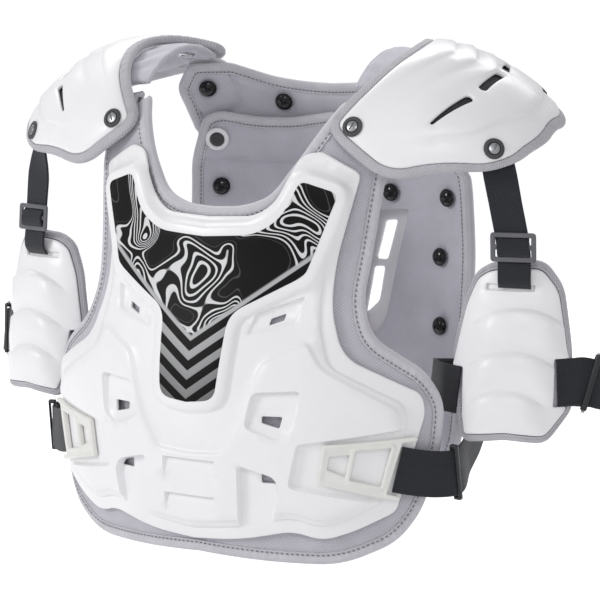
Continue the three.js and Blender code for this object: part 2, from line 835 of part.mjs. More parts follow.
// Moves a piece made round its own origin, +Z outward, onto a surface
function standOn(geometry, surface, u, z, h, facing = 1) {
  const at = surface(u, z, h);
  const alongU = surface(u + 1, z, h).sub(surface(u - 1, z, h)).normalize();
  const alongZ = surface(u, z + 1, h).sub(surface(u, z - 1, h)).normalize();
  const normal = surface(u, z, h + 1).sub(surface(u, z, h - 1));
  const out = new THREE.Vector3().crossVectors(alongU, alongZ).normalize();
  if (out.dot(normal) < 0) out.negate();
  out.multiplyScalar(facing);
  const x = alongU.clone();
  const y = new THREE.Vector3().crossVectors(out, x).normalize();
  const copy = geometry.clone();
  copy.applyMatrix4(new THREE.Matrix4().makeBasis(x, y, out).setPosition(at));
  return copy;
}

// Moves a piece onto three given axes
function placed(geometry, at, x, y) {
  const z = new THREE.Vector3().crossVectors(x, y).normalize();
  const flat = new THREE.Vector3().crossVectors(z, x).normalize();
  const copy = geometry.clone();
  copy.applyMatrix4(new THREE.Matrix4().makeBasis(x.clone().normalize(), flat, z).setPosition(at));
  return copy;
}

const lathe = (rows, sides) =>
  new THREE.LatheGeometry(rows.map((r) => new THREE.Vector2(r.out, r.up)), sides).rotateX(Math.PI / 2);

// Finishes
const finish = (color, roughness, metalness = 0) =>
  new THREE.MeshStandardMaterial({ color, roughness, metalness });
const whitePlastic = finish(0xf2f1f2, 0.35);
const clipPlastic = finish(0xe4e3df, 0.45);
const blackInlay = finish(0x111112, 0.4);
const mesh = finish(0xa9a7ae, 0.95);
const bindingCloth = finish(0xc3c1c6, 0.85);
const blackWeb = finish(0x1e2026, 0.9);
const blackPlastic = finish(0x202022, 0.4);
const steel = finish(0x8a8a8c, 0.35, 0.9);

const model = new THREE.Group();
function add(name, geometry, material) {
  const piece = new THREE.Mesh(geometry, material);
  piece.name = name;
  model.add(piece);
}
function addPair(name, geometry, material) {
  add(name + "_left", geometry, material);
  add(name + "_right", mirrored(geometry), material);
}

// Chest plate: levels of its outer face above the face that lies on the liner
const rimLevel = shellWall;
const bodyLevel = rimLevel + bodyRise;
const bellyLevel = bodyLevel + bellyRise;
const fieldLevel = bodyLevel + fieldRise;
const recessLevel = bellyLevel - recessDepth;
const chestRing = (rows) => wholeRing(rows, halfChest, torsoHeight);
const chestSide = (rows) => sideRing(rows, halfChest, torsoHeight);
const shellRing = chestRing(shellOutline);
const inlayRing = chestRing(inlayOutline);
const fieldRing = insetRing(inlayRing, -fieldBorder - slopeRun);

let chestForm = prism(insetRing(shellRing, -12), -far, rimLevel)
  .add(plateau(chestRing(bodyOutline), rimLevel, bodyLevel))
  .add(plateau(chestRing(bellyOutline), bodyLevel, bellyLevel))
  .add(plateau(fieldRing, rimLevel, fieldLevel));
for (const { depth, pocket: rows } of chestPockets) {
  const ring = chestSide(rows);
  const brim = rows[0].down < 0.55 ? bodyLevel : bellyLevel;
  const cutter = pocket(ring, brim - depth * pocketDepth, brim, 2);
  const other = pocket(mirrorRing(ring), brim - depth * pocketDepth, brim, 2);
  chestForm = chestForm.subtract(cutter).subtract(other);
}
for (const { half, top, bottom } of ribPockets) {
  const box = (shrink) =>
    [
      [-1, bottom],
      [1, bottom],
      [1, top],
      [-1, top],
    ].map(([s, down]) => ({ x: s * (half * halfChest - shrink), y: -down * torsoHeight, r: 0 }));
  const floor = (x, y) =>
    bellyLevel - ribDepth * THREE.MathUtils.clamp((y / torsoHeight + bottom) / (bottom - top), 0, 1);
  chestForm = chestForm.subtract(
    loft([
      { ring: box(1.5), level: (x, y) => floor(x, y) - 0.01 },
      { ring: box(0), level: bellyLevel + 0.01 },
      { ring: box(0), level: far },
    ]),
  );
}
const recessRing = chestSide(clipRecess);
chestForm = chestForm
  .subtract(pocket(recessRing, recessLevel, bellyLevel, 3))
  .subtract(pocket(mirrorRing(recessRing), recessLevel, bellyLevel, 3));
let chestShell = chestForm
  .subtract(chestForm.translate([0, 0, -shellWall]))
  .intersect(prism(shellRing, -far, far));
for (const { window: rows } of chestPockets) {
  const ring = chestSide(rows);
  chestShell = chestShell.subtract(prism(ring, -far, far)).subtract(prism(mirrorRing(ring), -far, far));
}
add("chest_shell", bend(chestShell, chestPoint), whitePlastic);

const inlay = prism(inlayRing, fieldLevel + inlayGap, fieldLevel + inlayGap + inlayThick);
add("chest_graphic_panel", bend(inlay, chestPoint), blackInlay);

// Chest liner and its bound edge
const linerRing = chestRing(linerOutline);
const linerInner = insetRing(linerRing, bindingWidth);
const linerLow = -linerGap - linerThick;
const linerBody = prism(insetRing(linerRing, bindingWidth + seat), linerLow, -linerGap, 1);
const linerEdge = prism(linerRing, linerLow, -linerGap, 1).subtract(prism(linerInner, -far, far, 1));
add("chest_liner", bend(linerBody, chestPoint), mesh);
add("chest_binding", bend(linerEdge, chestPoint), bindingCloth);

// Back plate
const backRing = (rows) => wholeRing(rows, halfBack, torsoHeight);
const backSide = (rows) => sideRing(rows, halfBack, torsoHeight);
const backShellRing = backRing(backShellOutline);
const backForm = prism(insetRing(backShellRing, -12), -far, rimLevel)
  .add(plateau(backRing(backFieldOutline), rimLevel, bodyLevel))
  .add(plateau(backRing(spineOutline), bodyLevel, bellyLevel));
let backShell = backForm
  .subtract(backForm.translate([0, 0, -shellWall]))
  .intersect(prism(backShellRing, -far, far));
for (const rows of backSlots) {
  const ring = backSide(rows);
  backShell = backShell.subtract(prism(ring, -far, far)).subtract(prism(mirrorRing(ring), -far, far));
}
add("back_shell", turnFaces(bend(backShell, backPoint)), whitePlastic);

// Back liners: the lower one overlaps the upper one on the wearer's side
function boundPanel(name, ring, surface, openings) {
  let body = prism(insetRing(ring, bindingWidth + seat), linerLow, -linerGap, 1);
  const inner = prism(insetRing(ring, bindingWidth), -far, far, 1);
  const edge = prism(ring, linerLow, -linerGap, 1).subtract(inner);
  for (const opening of openings) body = body.subtract(prism(opening, -far, far, 1));
  add("back_liner_" + name, turnFaces(bend(body, surface)), mesh);
  add("back_binding_" + name, turnFaces(bend(edge, surface)), bindingCloth);
}
const ventRing = backSide(ventOutline);
boundPanel("upper", backRing(upperBackOutline), backPoint, []);
boundPanel("lower", backRing(lowerBackOutline), lowerBackPoint, [ventRing, mirrorRing(ventRing)]);

// Rivets through the back liners, domes on the wearer's side
const rivet = lathe(
  [
    { out: 0, up: 0 },
    { out: rivetWidth / 2, up: 0 },
    { out: 0.42 * rivetWidth, up: 0.6 * rivetHeight },
    { out: 0, up: rivetHeight },
  ],
  8,
);
const ring = lathe(
  [
    { out: rivetWidth / 2 + seat, up: 0 },
    { out: ringWidth / 2, up: 0 },
    { out: 0.47 * ringWidth, up: ringHeight },
    { out: rivetWidth / 2 + seat, up: ringHeight },
    { out: rivetWidth / 2 + seat, up: 0 },
  ],
  8,
);
const rivetRows = [
  { name: "top_outer", panel: "upper", across: 0.79, down: 0.078 },
  { name: "top_inner", panel: "upper", across: 0.333, down: 0.106 },
  { name: "ringed", panel: "lower", across: 0.79, down: 0.19 },
  { name: "chest_outer", panel: "lower", across: 0.805, down: 0.3 },
  { name: "chest_inner", panel: "lower", across: 0.333, down: 0.3 },
  { name: "side_high", panel: "lower", across: 0.735, down: 0.43 },
  { name: "side_low", panel: "lower", across: 0.755, down: 0.578 },
];
const rivetDepth = linerLow - rivetGap;
for (const { name, panel, across, down } of rivetRows) {
  const surface = panel === "upper" ? backPoint : lowerBackPoint;
  const u = across * halfBack;
  const z = -down * torsoHeight;
  addPair("back_rivet_" + name, standOn(rivet, surface, u, z, rivetDepth, -1), blackPlastic);
  if (name === "ringed")
    addPair("back_rivet_ring", standOn(ring, surface, u, z, linerLow - ringGap, -1), whitePlastic);
}

// Shoulder caps with their linings and screws
const capRing = (rows) =>
  ringOf(rows.map((r) => ({ x: r.out * capSpan, y: r.along * capArch, r: r.round * capSpan })));
const capEdge = capRing(capOutline);
let capForm = prism(insetRing(capEdge, -12), -far, 0);
for (const rows of capRidges) capForm = capForm.add(plateau(capRing(rows), 0, capRidge, 0.022 * capSpan));
let cap = capForm.subtract(capForm.translate([0, 0, -capWall])).intersect(prism(capEdge, -far, far));
for (const slot of capSlots) {
  const from = new THREE.Vector2(slot.fromOut * capSpan, slot.fromAlong * capArch);
  const to = new THREE.Vector2(slot.toOut * capSpan, slot.toAlong * capArch);
  const side = to.clone().sub(from).normalize();
  side.set(-side.y, side.x);
  const corner = (p, width, sign) => {
    const q = p.clone().addScaledVector(side, (sign * width * capSpan) / 2);
    return { x: q.x, y: q.y, r: (width * capSpan) / 3 };
  };
  const slotCorners = ringOf([
    corner(from, slot.fromWidth, -1),
    corner(from, slot.fromWidth, 1),
    corner(to, slot.toWidth, 1),
    corner(to, slot.toWidth, -1),
  ]);
  cap = cap.subtract(prism(slotCorners, -far, far));
}
const capTurned = (s, t, h) => capPoint(s, t, h);
const capStep = 40;
addPair("shoulder_cap", bend(cap, capTurned, capStep, capStep), whitePlastic);

const capPadTop = -capWall - capGap;
const capPad = prism(insetRing(capEdge, -capPadEdge), capPadTop - capPadThick, capPadTop, 1);
addPair("shoulder_pad", bend(capPad, capTurned, capStep, capStep), mesh);

const screwForm = solidOf(
  lathe(
    [
      { out: 0, up: 0 },
      { out: washerWidth / 2, up: 0 },
      { out: 0.46 * washerWidth, up: washerHeight },
      { out: headWidth / 2, up: washerHeight },
      { out: headWidth / 2, up: washerHeight + headHeight },
      { out: 0, up: washerHeight + headHeight },
    ],
    8,
  ),
);
const slotCut = new THREE.BoxGeometry(2 * headWidth, headSlot, headHeight).translate(
  0,
  0,
  washerHeight + headHeight,
);
const screw = geometryOf(screwForm.subtract(solidOf(slotCut)));
for (const { name, out, along } of capScrews)
  addPair("cap_screw_" + name, standOn(screw, capTurned, out * capSpan, along * capArch, screwGap), steel);

// Padded straps over the shoulders, from the chest liner's top to the back liner's top
const strapDepth = capPadTop - capPadThick - strapGap - strapThick / 2;
const strapOut = 0.075 * capSpan;
const strapStations = [];
for (const along of [-0.5, -0.36, -0.18, 0, 0.18, 0.36, 0.54, 0.7]) {
  const at = capPoint(strapOut, along * capArch, strapDepth);
  const beside = capPoint(strapOut + 1, along * capArch, strapDepth);
  strapStations.push({ at, across: beside.sub(at) });
}
addPair("shoulder_strap", ribbon(strapStations, strapWidth, strapThick), bindingCloth);

// Arm guards with their linings
const guardRing = ringOf(
  guardOutline.map((r) => ({ x: r.out * guardHalf, y: r.up * guardHeight, r: r.round * guardHalf })),
);
let guardForm = prism(insetRing(guardRing, -8), -far, guardWall);
for (const { peak, foot } of guardSteps) {
  const wide = 1.3 * guardHalf;
  const ridge = [
    { x: -wide, y: foot * guardHeight, r: 0 },
    { x: wide, y: foot * guardHeight, r: 0 },
    { x: wide, y: (peak - 0.12) * guardHeight, r: 0 },
    { x: 0.35 * guardHalf, y: peak * guardHeight, r: 0 },
    { x: -0.35 * guardHalf, y: peak * guardHeight, r: 0 },
    { x: -wide, y: (peak - 0.12) * guardHeight, r: 0 },
  ];
  const rise = (x, y) =>
    guardWall + guardRidge * THREE.MathUtils.clamp((y / guardHeight - foot) / (peak - foot), 0, 1) * 0.999;
  guardForm = guardForm.add(
    loft([
      { ring: ridge, level: -far },
      { ring: ridge, level: (x, y) => (y < (foot + 0.001) * guardHeight ? guardWall - 0.01 : rise(x, y) - 0.4) },
      { ring: insetRing(ridge, 1.5), level: (x, y) => rise(x, y) },
    ]),
  );
}
const slotHalf = guardSlot.half * guardHalf;
const slotCentre = guardSlot.centre * guardHalf;
const slotLow = (guardSlot.up - guardSlot.high / 2) * guardHeight;
const slotHigh = (guardSlot.up + guardSlot.high / 2) * guardHeight;
const slotRing = [
  { x: slotCentre - slotHalf, y: slotLow, r: 0 },
  { x: slotCentre + slotHalf, y: slotLow, r: 0 },
  { x: slotCentre + slotHalf, y: slotHigh, r: 0 },
  { x: slotCentre - slotHalf, y: slotHigh, r: 0 },
];
const guard = guardForm
  .subtract(guardForm.translate([0, 0, -guardWall]))
  .intersect(prism(guardRing, -far, far))
  .subtract(prism(slotRing, -far, far));
addPair("arm_guard", bend(guard, guardPoint, guardStepAcross, guardStepDown), whitePlastic);

// The lining ignores the two notches that the band leaves through
const padCorners = guardOutline
  .filter((r) => r.round > 0.02)
  .map((r) => ({ x: r.out * guardHalf, y: r.up * guardHeight, r: r.round * guardHalf }));
const guardPadRing = insetRing(ringOf(padCorners), -guardPadEdge);
const guardPad = prism(guardPadRing, -guardGap - guardPadThick, -guardGap, 1);
addPair("arm_pad", bend(guardPad, guardPoint, guardStepAcross, guardStepDown), mesh);

// Webbing from under the cap down through the guard's slot
const webDepth = capPadTop - capPadThick - webGap - webThick / 2;
const webAcross = new THREE.Vector3(Math.cos(guardYaw), Math.sin(guardYaw), 0);
const webOut = 0.73 * capSpan;
const webStations = [-0.75, -0.9, -1.05, -1.2].map((along) => {
  const at = capPoint(webOut, along * capArch, webDepth);
  return { at, across: capPoint(webOut + 1, along * capArch, webDepth).sub(at) };
});
const webLow = webStations[webStations.length - 1].at;
const webLift = guardWall + guardRidge + webThick;
const webGuard = guardPoint(slotCentre, slotHigh + 2 * webThick, webLift);
const webSlot = guardPoint(slotCentre, (slotLow + slotHigh) / 2, guardWall / 2);
const hang = webGuard.clone().sub(webLow);
for (const share of [0.2, 0.5])
  webStations.push({ at: webLow.clone().addScaledVector(hang, share), across: webAcross });
webStations.push({ at: webGuard, across: webAcross }, { at: webSlot, across: webAcross });
addPair("arm_webbing", ribbon(webStations, webWidth, webThick), blackWeb);

// Three-bar slide in front of the webbing
const glideSide = 5;
const glideWide = webWidth + 2 * glideSide;
const glideHigh = 23;
const glideBar = 4;
const glideShape = new THREE.Shape(
  ringPoints(
    [
      { x: -glideWide / 2, y: -glideHigh / 2, r: 3 },
      { x: glideWide / 2, y: -glideHigh / 2, r: 3 },
      { x: glideWide / 2, y: glideHigh / 2, r: 3 },
      { x: -glideWide / 2, y: glideHigh / 2, r: 3 },
    ],
    2,
  ),
);
for (const sign of [-1, 1]) {
  const near = glideBar / 2;
  const farSide = glideHigh / 2 - glideBar;
  const half = glideWide / 2 - glideBar;
  const low = sign > 0 ? near : -farSide;
  const high = sign > 0 ? farSide : -near;
  glideShape.holes.push(
    new THREE.Path([
      new THREE.Vector2(-half, low),
      new THREE.Vector2(-half, high),
      new THREE.Vector2(half, high),
      new THREE.Vector2(half, low),
    ]),
  );
}
const glideThick = 2.6;
const glide = new THREE.ExtrudeGeometry(glideShape, { depth: glideThick, bevelEnabled: false });
const hangUp = hang.clone().negate().normalize();
const hangOut = new THREE.Vector3().crossVectors(webAcross, hangUp).normalize();
const glideAt = webLow
  .clone()
  .addScaledVector(hang, 0.62)
  .addScaledVector(hangOut, webThick / 2 + seat);
addPair("arm_triglide", placed(glide, glideAt, webAcross, hangUp), blackPlastic);

// Elastic band round the upper arm, from the guard's outer notch to its inner one
const bandRow = (out, lift) => guardPoint(out * guardHalf, bandUp * guardHeight, lift + elasticThick / 2);
const bandFrom = bandRow(0.76, 0);
const bandLoop = [
  { out: 1.2, back: 0.55 },
  { out: 1.08, back: 1.05 },
  { out: 0.7, back: 1.55 },
  { out: 0.05, back: 1.85 },
  { out: -0.65, back: 1.75 },
  { out: -1.25, back: 1.3 },
  { out: -1.52, back: 0.8 },
  { out: -1.45, back: 0.35 },
];
const bandPoints = [bandFrom, bandRow(1.0, 0.2), bandRow(1.22, 0.4)];
for (const { out, back } of bandLoop)
  bandPoints.push(
    new THREE.Vector3(guardOut + out * guardHalf, bandFrom.y + back * guardHalf, bandFrom.z),
  );
bandPoints.push(bandRow(-1.24, 0.4), bandRow(-1.05, 0.2), bandRow(-0.85, 0));
const up = new THREE.Vector3(0, 0, 1);
const bandAcross = new THREE.Vector3(0, guardRake, 1).normalize();
const bandCurve = new THREE.CatmullRomCurve3(bandPoints, false, "centripetal");
const bandStations = bandCurve.getSpacedPoints(16).map((at) => ({ at, across: bandAcross }));
addPair("arm_band", ribbon(bandStations, elasticWidth, elasticThick), blackWeb);

// A slide is a flat frame that the strap passes through
function slideFrame(width) {
  const high = slideThick / 2;
  const shape = new THREE.Shape(
    ringPoints(
      [
        { x: -width / 2 - slideBar, y: -high, r: 1.4 },
        { x: width / 2 + slideBar, y: -high, r: 1.4 },
        { x: width / 2 + slideBar, y: high, r: 1.4 },
        { x: -width / 2 - slideBar, y: high, r: 1.4 },
      ],
      2,
    ),
  );
  const halfHole = width / 2 + seat;
  const lowHole = elasticThick / 2 + slideRoom;
  shape.holes.push(
    new THREE.Path([
      new THREE.Vector2(-halfHole, -lowHole),
      new THREE.Vector2(-halfHole, lowHole),
      new THREE.Vector2(halfHole, lowHole),
      new THREE.Vector2(halfHole, -lowHole),
    ]),
  );
  return new THREE.ExtrudeGeometry(shape, { depth: slideDeep, bevelEnabled: false }).translate(
    0,
    0,
    -slideDeep / 2,
  );
}
function slideAt(curve, share, across) {
  const at = curve.getPointAt(share);
  const along = curve.getTangentAt(share);
  const wide = across.clone().addScaledVector(along, -across.dot(along)).normalize();
  const thin = new THREE.Vector3().crossVectors(along, wide);
  return placed(slideFrame(elasticWidth), at, wide, thin);
}
addPair("arm_band_slider", slideAt(bandCurve, 0.09, bandAcross), blackPlastic);

// Waist clips in the chest plate's recesses
const clipLevel = recessLevel + seat;
const clip = prism(chestSide(clipOutline), clipLevel, clipLevel + clipThick)
  .subtract(prism(chestSide(clipWindow), -far, far))
  .subtract(prism(chestSide(clipNotch), -far, far));
addPair("waist_clip", bend(clip, chestPoint), clipPlastic);

// Elastic side straps from the clips round to the back plate
const strapLevel = clipLevel + elasticThick;
const strapHead = [
  { across: 0.822, down: 0.7845 },
  { across: 0.9, down: 0.793 },
  { across: 0.99, down: 0.799 },
  { across: 1.06, down: 0.797 },
];
const strapTail = [
  { across: 1.03, down: 0.722 },
  { across: 0.9, down: 0.716 },
  { across: 0.76, down: 0.712 },
];
const headStations = strapHead.map((r) => {
  const u = r.across * halfChest;
  const z = -r.down * torsoHeight;
  const slant = 18 * (1 - r.across);
  return {
    at: chestPoint(u, z, strapLevel),
    across: chestPoint(u + slant, z + 10, strapLevel).sub(chestPoint(u - slant, z - 10, strapLevel)).normalize(),
  };
});
const tailLevel = bodyLevel + linerGap + elasticThick;
const tailStations = strapTail.map((r) => {
  const u = r.across * halfBack;
  const z = -r.down * torsoHeight;
  return {
    at: backPoint(u, z, tailLevel),
    across: backPoint(u, z + 10, tailLevel).sub(backPoint(u, z - 10, tailLevel)).normalize(),
  };
});
const waistRows = [...headStations];
const waistHead = headStations[headStations.length - 1].at;
for (const { share, out } of [
  { share: 0.3, out: 0.02 },
  { share: 0.62, out: 0.03 },
]) {
  const at = waistHead.clone().lerp(tailStations[0].at, share);
  at.x += out * halfChest;
  waistRows.push({ at, across: up });
}
waistRows.push(...tailStations);
const waistCurve = new THREE.CatmullRomCurve3(
  waistRows.map((row) => row.at),
  false,
  "centripetal",
);
const waistAcross = new THREE.CatmullRomCurve3(
  waistRows.map((row) => row.across),
  false,
  "catmullrom",
);
const waistSteps = 16;
const waistStations = Array.from({ length: waistSteps + 1 }, (_, i) => ({
  at: waistCurve.getPoint(i / waistSteps),
  across: waistAcross.getPoint(i / waistSteps),
}));
addPair("waist_strap", ribbon(waistStations, elasticWidth, elasticThick), blackWeb);
addPair("waist_strap_slider", slideAt(waistCurve, 0.2, up), blackPlastic);

export default model;
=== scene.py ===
# %% [markdown]
# A motocross roost deflector: two moulded plastic plates over padded liners, joined over the
# shoulders by padded straps and caps, with guards on the upper arms and elastic side straps.
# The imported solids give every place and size. Each visible surface is made again here with fine
# edges, seams, weave and stitches, on the same curved surfaces as the solids.

# %% Frame
import math
import random
from collections import namedtuple

import bpy
import numpy as np
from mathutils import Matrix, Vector, kdtree
from mathutils.geometry import delaunay_2d_cdt


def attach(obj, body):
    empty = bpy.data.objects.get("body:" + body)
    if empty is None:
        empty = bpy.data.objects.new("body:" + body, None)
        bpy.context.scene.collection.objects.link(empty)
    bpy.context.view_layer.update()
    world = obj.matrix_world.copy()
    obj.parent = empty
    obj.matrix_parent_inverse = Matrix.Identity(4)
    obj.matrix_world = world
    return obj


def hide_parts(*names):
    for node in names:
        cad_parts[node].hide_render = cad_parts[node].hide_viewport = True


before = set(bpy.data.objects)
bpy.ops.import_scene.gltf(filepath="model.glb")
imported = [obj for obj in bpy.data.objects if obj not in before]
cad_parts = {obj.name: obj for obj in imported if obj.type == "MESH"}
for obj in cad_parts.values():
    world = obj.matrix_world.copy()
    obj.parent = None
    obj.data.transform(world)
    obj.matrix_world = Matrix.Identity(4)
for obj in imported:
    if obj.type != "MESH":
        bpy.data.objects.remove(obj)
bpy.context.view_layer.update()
mm = 0.001
print("solids:", len(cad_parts))

# %% [markdown]
# The camera comes first. The photograph was taken from the wearer's left front, a little above
# the waist, from about 1.75 m away, so a long lens on a square frame gives its perspective.

# %% Camera
camera_azimuth = math.radians(28.5)
camera_elevation = math.radians(8.5)
camera_distance = 1750
camera_target = Vector((39.6, -27.9, -196.0))
photo_width = 600
pixels_per_mm = 1.22
sensor_width = 36

toward_camera = Vector(
    (
        math.sin(camera_azimuth) * math.cos(camera_elevation),
        -math.cos(camera_azimuth) * math.cos(camera_elevation),
        math.sin(camera_elevation),
    )
)
camera_data = bpy.data.cameras.new("camera")
camera_data.sensor_width = sensor_width
camera_data.lens = sensor_width * camera_distance * pixels_per_mm / photo_width
camera_data.clip_end = 20
camera = bpy.data.objects.new("camera", camera_data)
bpy.context.collection.objects.link(camera)
camera.location = (camera_target + toward_camera * camera_distance) * mm
camera.rotation_euler = toward_camera.to_track_quat("Z", "Y").to_euler()
bpy.context.scene.camera = camera
print("lens:", round(camera_data.lens, 1), "mm")

# %% [markdown]
# The torso, the shoulder caps and the arm guards each follow one curved surface. A point is given
# flat, as u across, z up and h outward from the surface, and these functions bend it. The same
# functions and sizes shape the solids, so every piece lands on its own solid. First the torso:
# across it is an arc, and a profile says how far it reaches at each level.

# %% Torso surfaces
torso_height = 400
chest_reach = 133
chest_arc = 245
back_reach = 140
back_arc = 260
half_chest = 200
half_back = 150

Level = namedtuple("Level", "down reach")
chest_profile = [
    Level(0.06, 0.5), Level(0.125, 0.635), Level(0.2, 0.72), Level(0.275, 0.76), Level(0.375, 0.8),
    Level(0.45, 0.85), Level(0.5375, 0.93), Level(0.625, 0.985), Level(0.725, 1.0),
    Level(0.85, 0.985), Level(1.0, 0.955), Level(1.1, 0.93),
]
back_profile = [
    Level(-0.05, 0.56), Level(0.0, 0.66), Level(0.1, 0.84), Level(0.2, 0.94), Level(0.3, 1.0),
    Level(0.5, 1.01), Level(0.75, 0.93), Level(0.9, 0.87), Level(1.0, 0.84),
]


def profile(rows, down):
    """Reach of a torso profile at each level, as one smooth curve through the rows."""
    at = np.array([row.down for row in rows])
    reach = np.array([row.reach for row in rows])
    slope = np.empty_like(at)
    slope[1:-1] = (reach[2:] - reach[:-2]) / (at[2:] - at[:-2])
    slope[0] = (reach[1] - reach[0]) / (at[1] - at[0])
    slope[-1] = (reach[-1] - reach[-2]) / (at[-1] - at[-2])
    i = np.clip(np.searchsorted(at, down) - 1, 0, len(at) - 2)
    step = at[i + 1] - at[i]
    t = np.clip((down - at[i]) / step, 0, 1)
    inner = (
        (2 * t**3 - 3 * t**2 + 1) * reach[i]
        + (t**3 - 2 * t**2 + t) * step * slope[i]
        + (3 * t**2 - 2 * t**3) * reach[i + 1]
        + (t**3 - t**2) * step * slope[i + 1]
    )
    return inner + np.minimum(down - at[0], 0) * slope[0] + np.maximum(down - at[-1], 0) * slope[-1]


def smooth(x):
    x = np.clip(x, 0, 1)
    return x * x * (3 - 2 * x)


def chest_surface(u, z, h):
    y = -chest_reach * profile(chest_profile, -z / torso_height)
    a = u / chest_arc
    return np.stack([(chest_arc + h) * np.sin(a), y + chest_arc - (chest_arc + h) * np.cos(a), z], -1)


def back_surface(u, z, h):
    y = back_reach * profile(back_profile, -z / torso_height)
    a = u / back_arc
    return np.stack([(back_arc + h) * np.sin(a), y - back_arc + (back_arc + h) * np.cos(a), z], -1)


def folded(flat):
    """Flat places with the right half folded onto the left one."""
    return np.stack([np.abs(flat[:, 0]), flat[:, 1]], -1)


liner_thick = 9
overlap_gap = 3.4
step_start = 0.255 * torso_height
step_end = 0.205 * torso_height


def lower_back_surface(u, z, h):
    """The lower back liner steps inward over the upper one near its top edge."""
    k = smooth((-z - step_end) / (step_start - step_end))
    return back_surface(u, z, h - (1 - k) * (liner_thick + overlap_gap))


waist = np.array([-0.6 * torso_height])
print("front at the waist:", chest_surface(0 * waist, waist, 0).round(1))
print("back at the waist:", back_surface(0 * waist, waist, 0).round(1))

# %% [markdown]
# A shoulder cap is an arch from front to back that also bends down over the shoulder, and the
# whole of it tilts forward. A guard is a short arc round the arm that turns and leans outward.

# %% Cap and guard surfaces
cap_span = 165
cap_arch = 110
cap_bow = 205
cap_tilt = math.radians(15.5)
cap_inset = 97
cap_forward = 2
cap_rise = 15.1


def cap_surface(s, t, h):
    a = s / cap_bow
    b = t / cap_arch
    r = cap_arch - cap_bow + (cap_bow + h) * np.cos(a)
    y = r * np.sin(b)
    z = r * np.cos(b) - cap_arch
    return np.stack(
        [
            cap_inset + (cap_bow + h) * np.sin(a),
            -cap_forward + y * math.cos(cap_tilt) - z * math.sin(cap_tilt),
            cap_rise + y * math.sin(cap_tilt) + z * math.cos(cap_tilt),
        ],
        -1,
    )


guard_height = 132
guard_half = 50
guard_arc = 75
guard_yaw = math.radians(14)
guard_rake = math.tan(math.radians(10.2))
guard_out = 227
guard_forward = 28
guard_drop = 225


def guard_surface(s, t, h):
    a = s / guard_arc
    side = (guard_arc + h) * np.sin(a)
    front = (guard_arc + h) * np.cos(a) - guard_arc
    return np.stack(
        [
            guard_out + side * math.cos(guard_yaw) + front * math.sin(guard_yaw),
            -guard_forward + side * math.sin(guard_yaw) - front * math.cos(guard_yaw) + t * guard_rake,
            -guard_drop + t + 0 * s,
        ],
        -1,
    )


def on(surface, u, z, h):
    """One point of a surface, as a vector in millimetres."""
    return Vector(surface(np.array([float(u)]), np.array([float(z)]), np.array([float(h)]))[0])


print("top of the left cap:", on(cap_surface, 0, 0, 0), "middle of its guard:", on(guard_surface, 0, 0, 0))

# %% [markdown]
# Outlines are short tables: across and down are shares of the half width and the torso height,
# and round is the share of the half width that a corner is rounded over. A ring is the closed
# line through such a table, with its corners as arcs and its sides cut into short steps.

# %% Rings
Corner = namedtuple("Corner", "across down round")
ring_step = 2.6


def table(*rows):
    return [Corner(*row) for row in rows]


def ring_of(corners, step=ring_step):
    """Corners (x, y, radius) as a dense closed line against the clock."""
    at = np.array([c[:2] for c in corners], float)
    area = np.sum(at[:, 0] * np.roll(at[:, 1], -1) - np.roll(at[:, 0], -1) * at[:, 1])
    if area < 0:
        corners = corners[::-1]
        at = at[::-1]
    line = []
    for i, corner in enumerate(corners):
        here = at[i]
        back = at[i - 1] - here
        ahead = at[(i + 1) % len(at)] - here
        back_size = np.linalg.norm(back)
        ahead_size = np.linalg.norm(ahead)
        cut = min(corner[2], 0.45 * back_size, 0.45 * ahead_size)
        if cut <= 0.05:
            line.append(here)
            continue
        p = here + back / back_size * cut
        q = here + ahead / ahead_size * cut
        parts = max(3, int(2 * cut / step))
        for t in np.linspace(0, 1, parts + 1):
            line.append((1 - t) ** 2 * p + 2 * t * (1 - t) * here + t * t * q)
    dense = []
    for i, p in enumerate(line):
        q = line[(i + 1) % len(line)]
        parts = max(1, int(math.ceil(np.linalg.norm(q - p) / step)))
        dense += [p + (q - p) * k / parts for k in range(parts)]
    return np.array(dense)


def side_ring(rows, half, step=ring_step):
    return ring_of([(r.across * half, -r.down * torso_height, r.round * half) for r in rows], step)


def whole_ring(rows, half):
    right = [(r.across * half, -r.down * torso_height, r.round * half) for r in rows]
    left = [(-x, y, r) for x, y, r in right[1:-1][::-1]]
    return ring_of(right + left)


def box_ring(left, right, low, high, corner=0, step=ring_step):
    """A rectangle with rounded corners."""
    sides = ((left, low), (right, low), (right, high), (left, high))
    return ring_of([(x, y, corner) for x, y in sides], step)


def circle(centre, radius, sides):
    turn = np.linspace(0, 2 * math.pi, sides, endpoint=False)
    return np.array(centre) + radius * np.stack([np.cos(turn), np.sin(turn)], -1)


def both_sides(rings):
    return rings + [(ring * [-1, 1])[::-1] for ring in rings]


trial_ring = box_ring(-20, 20, -20, 20, 5)
print("a rounded square of 40 mm has", len(trial_ring), "points")

# %% [markdown]
# Almost all relief is made from one measure: how far a place lies inside a ring. The same measure
# moves a ring in or out, which gives the lines where a slope starts and ends.

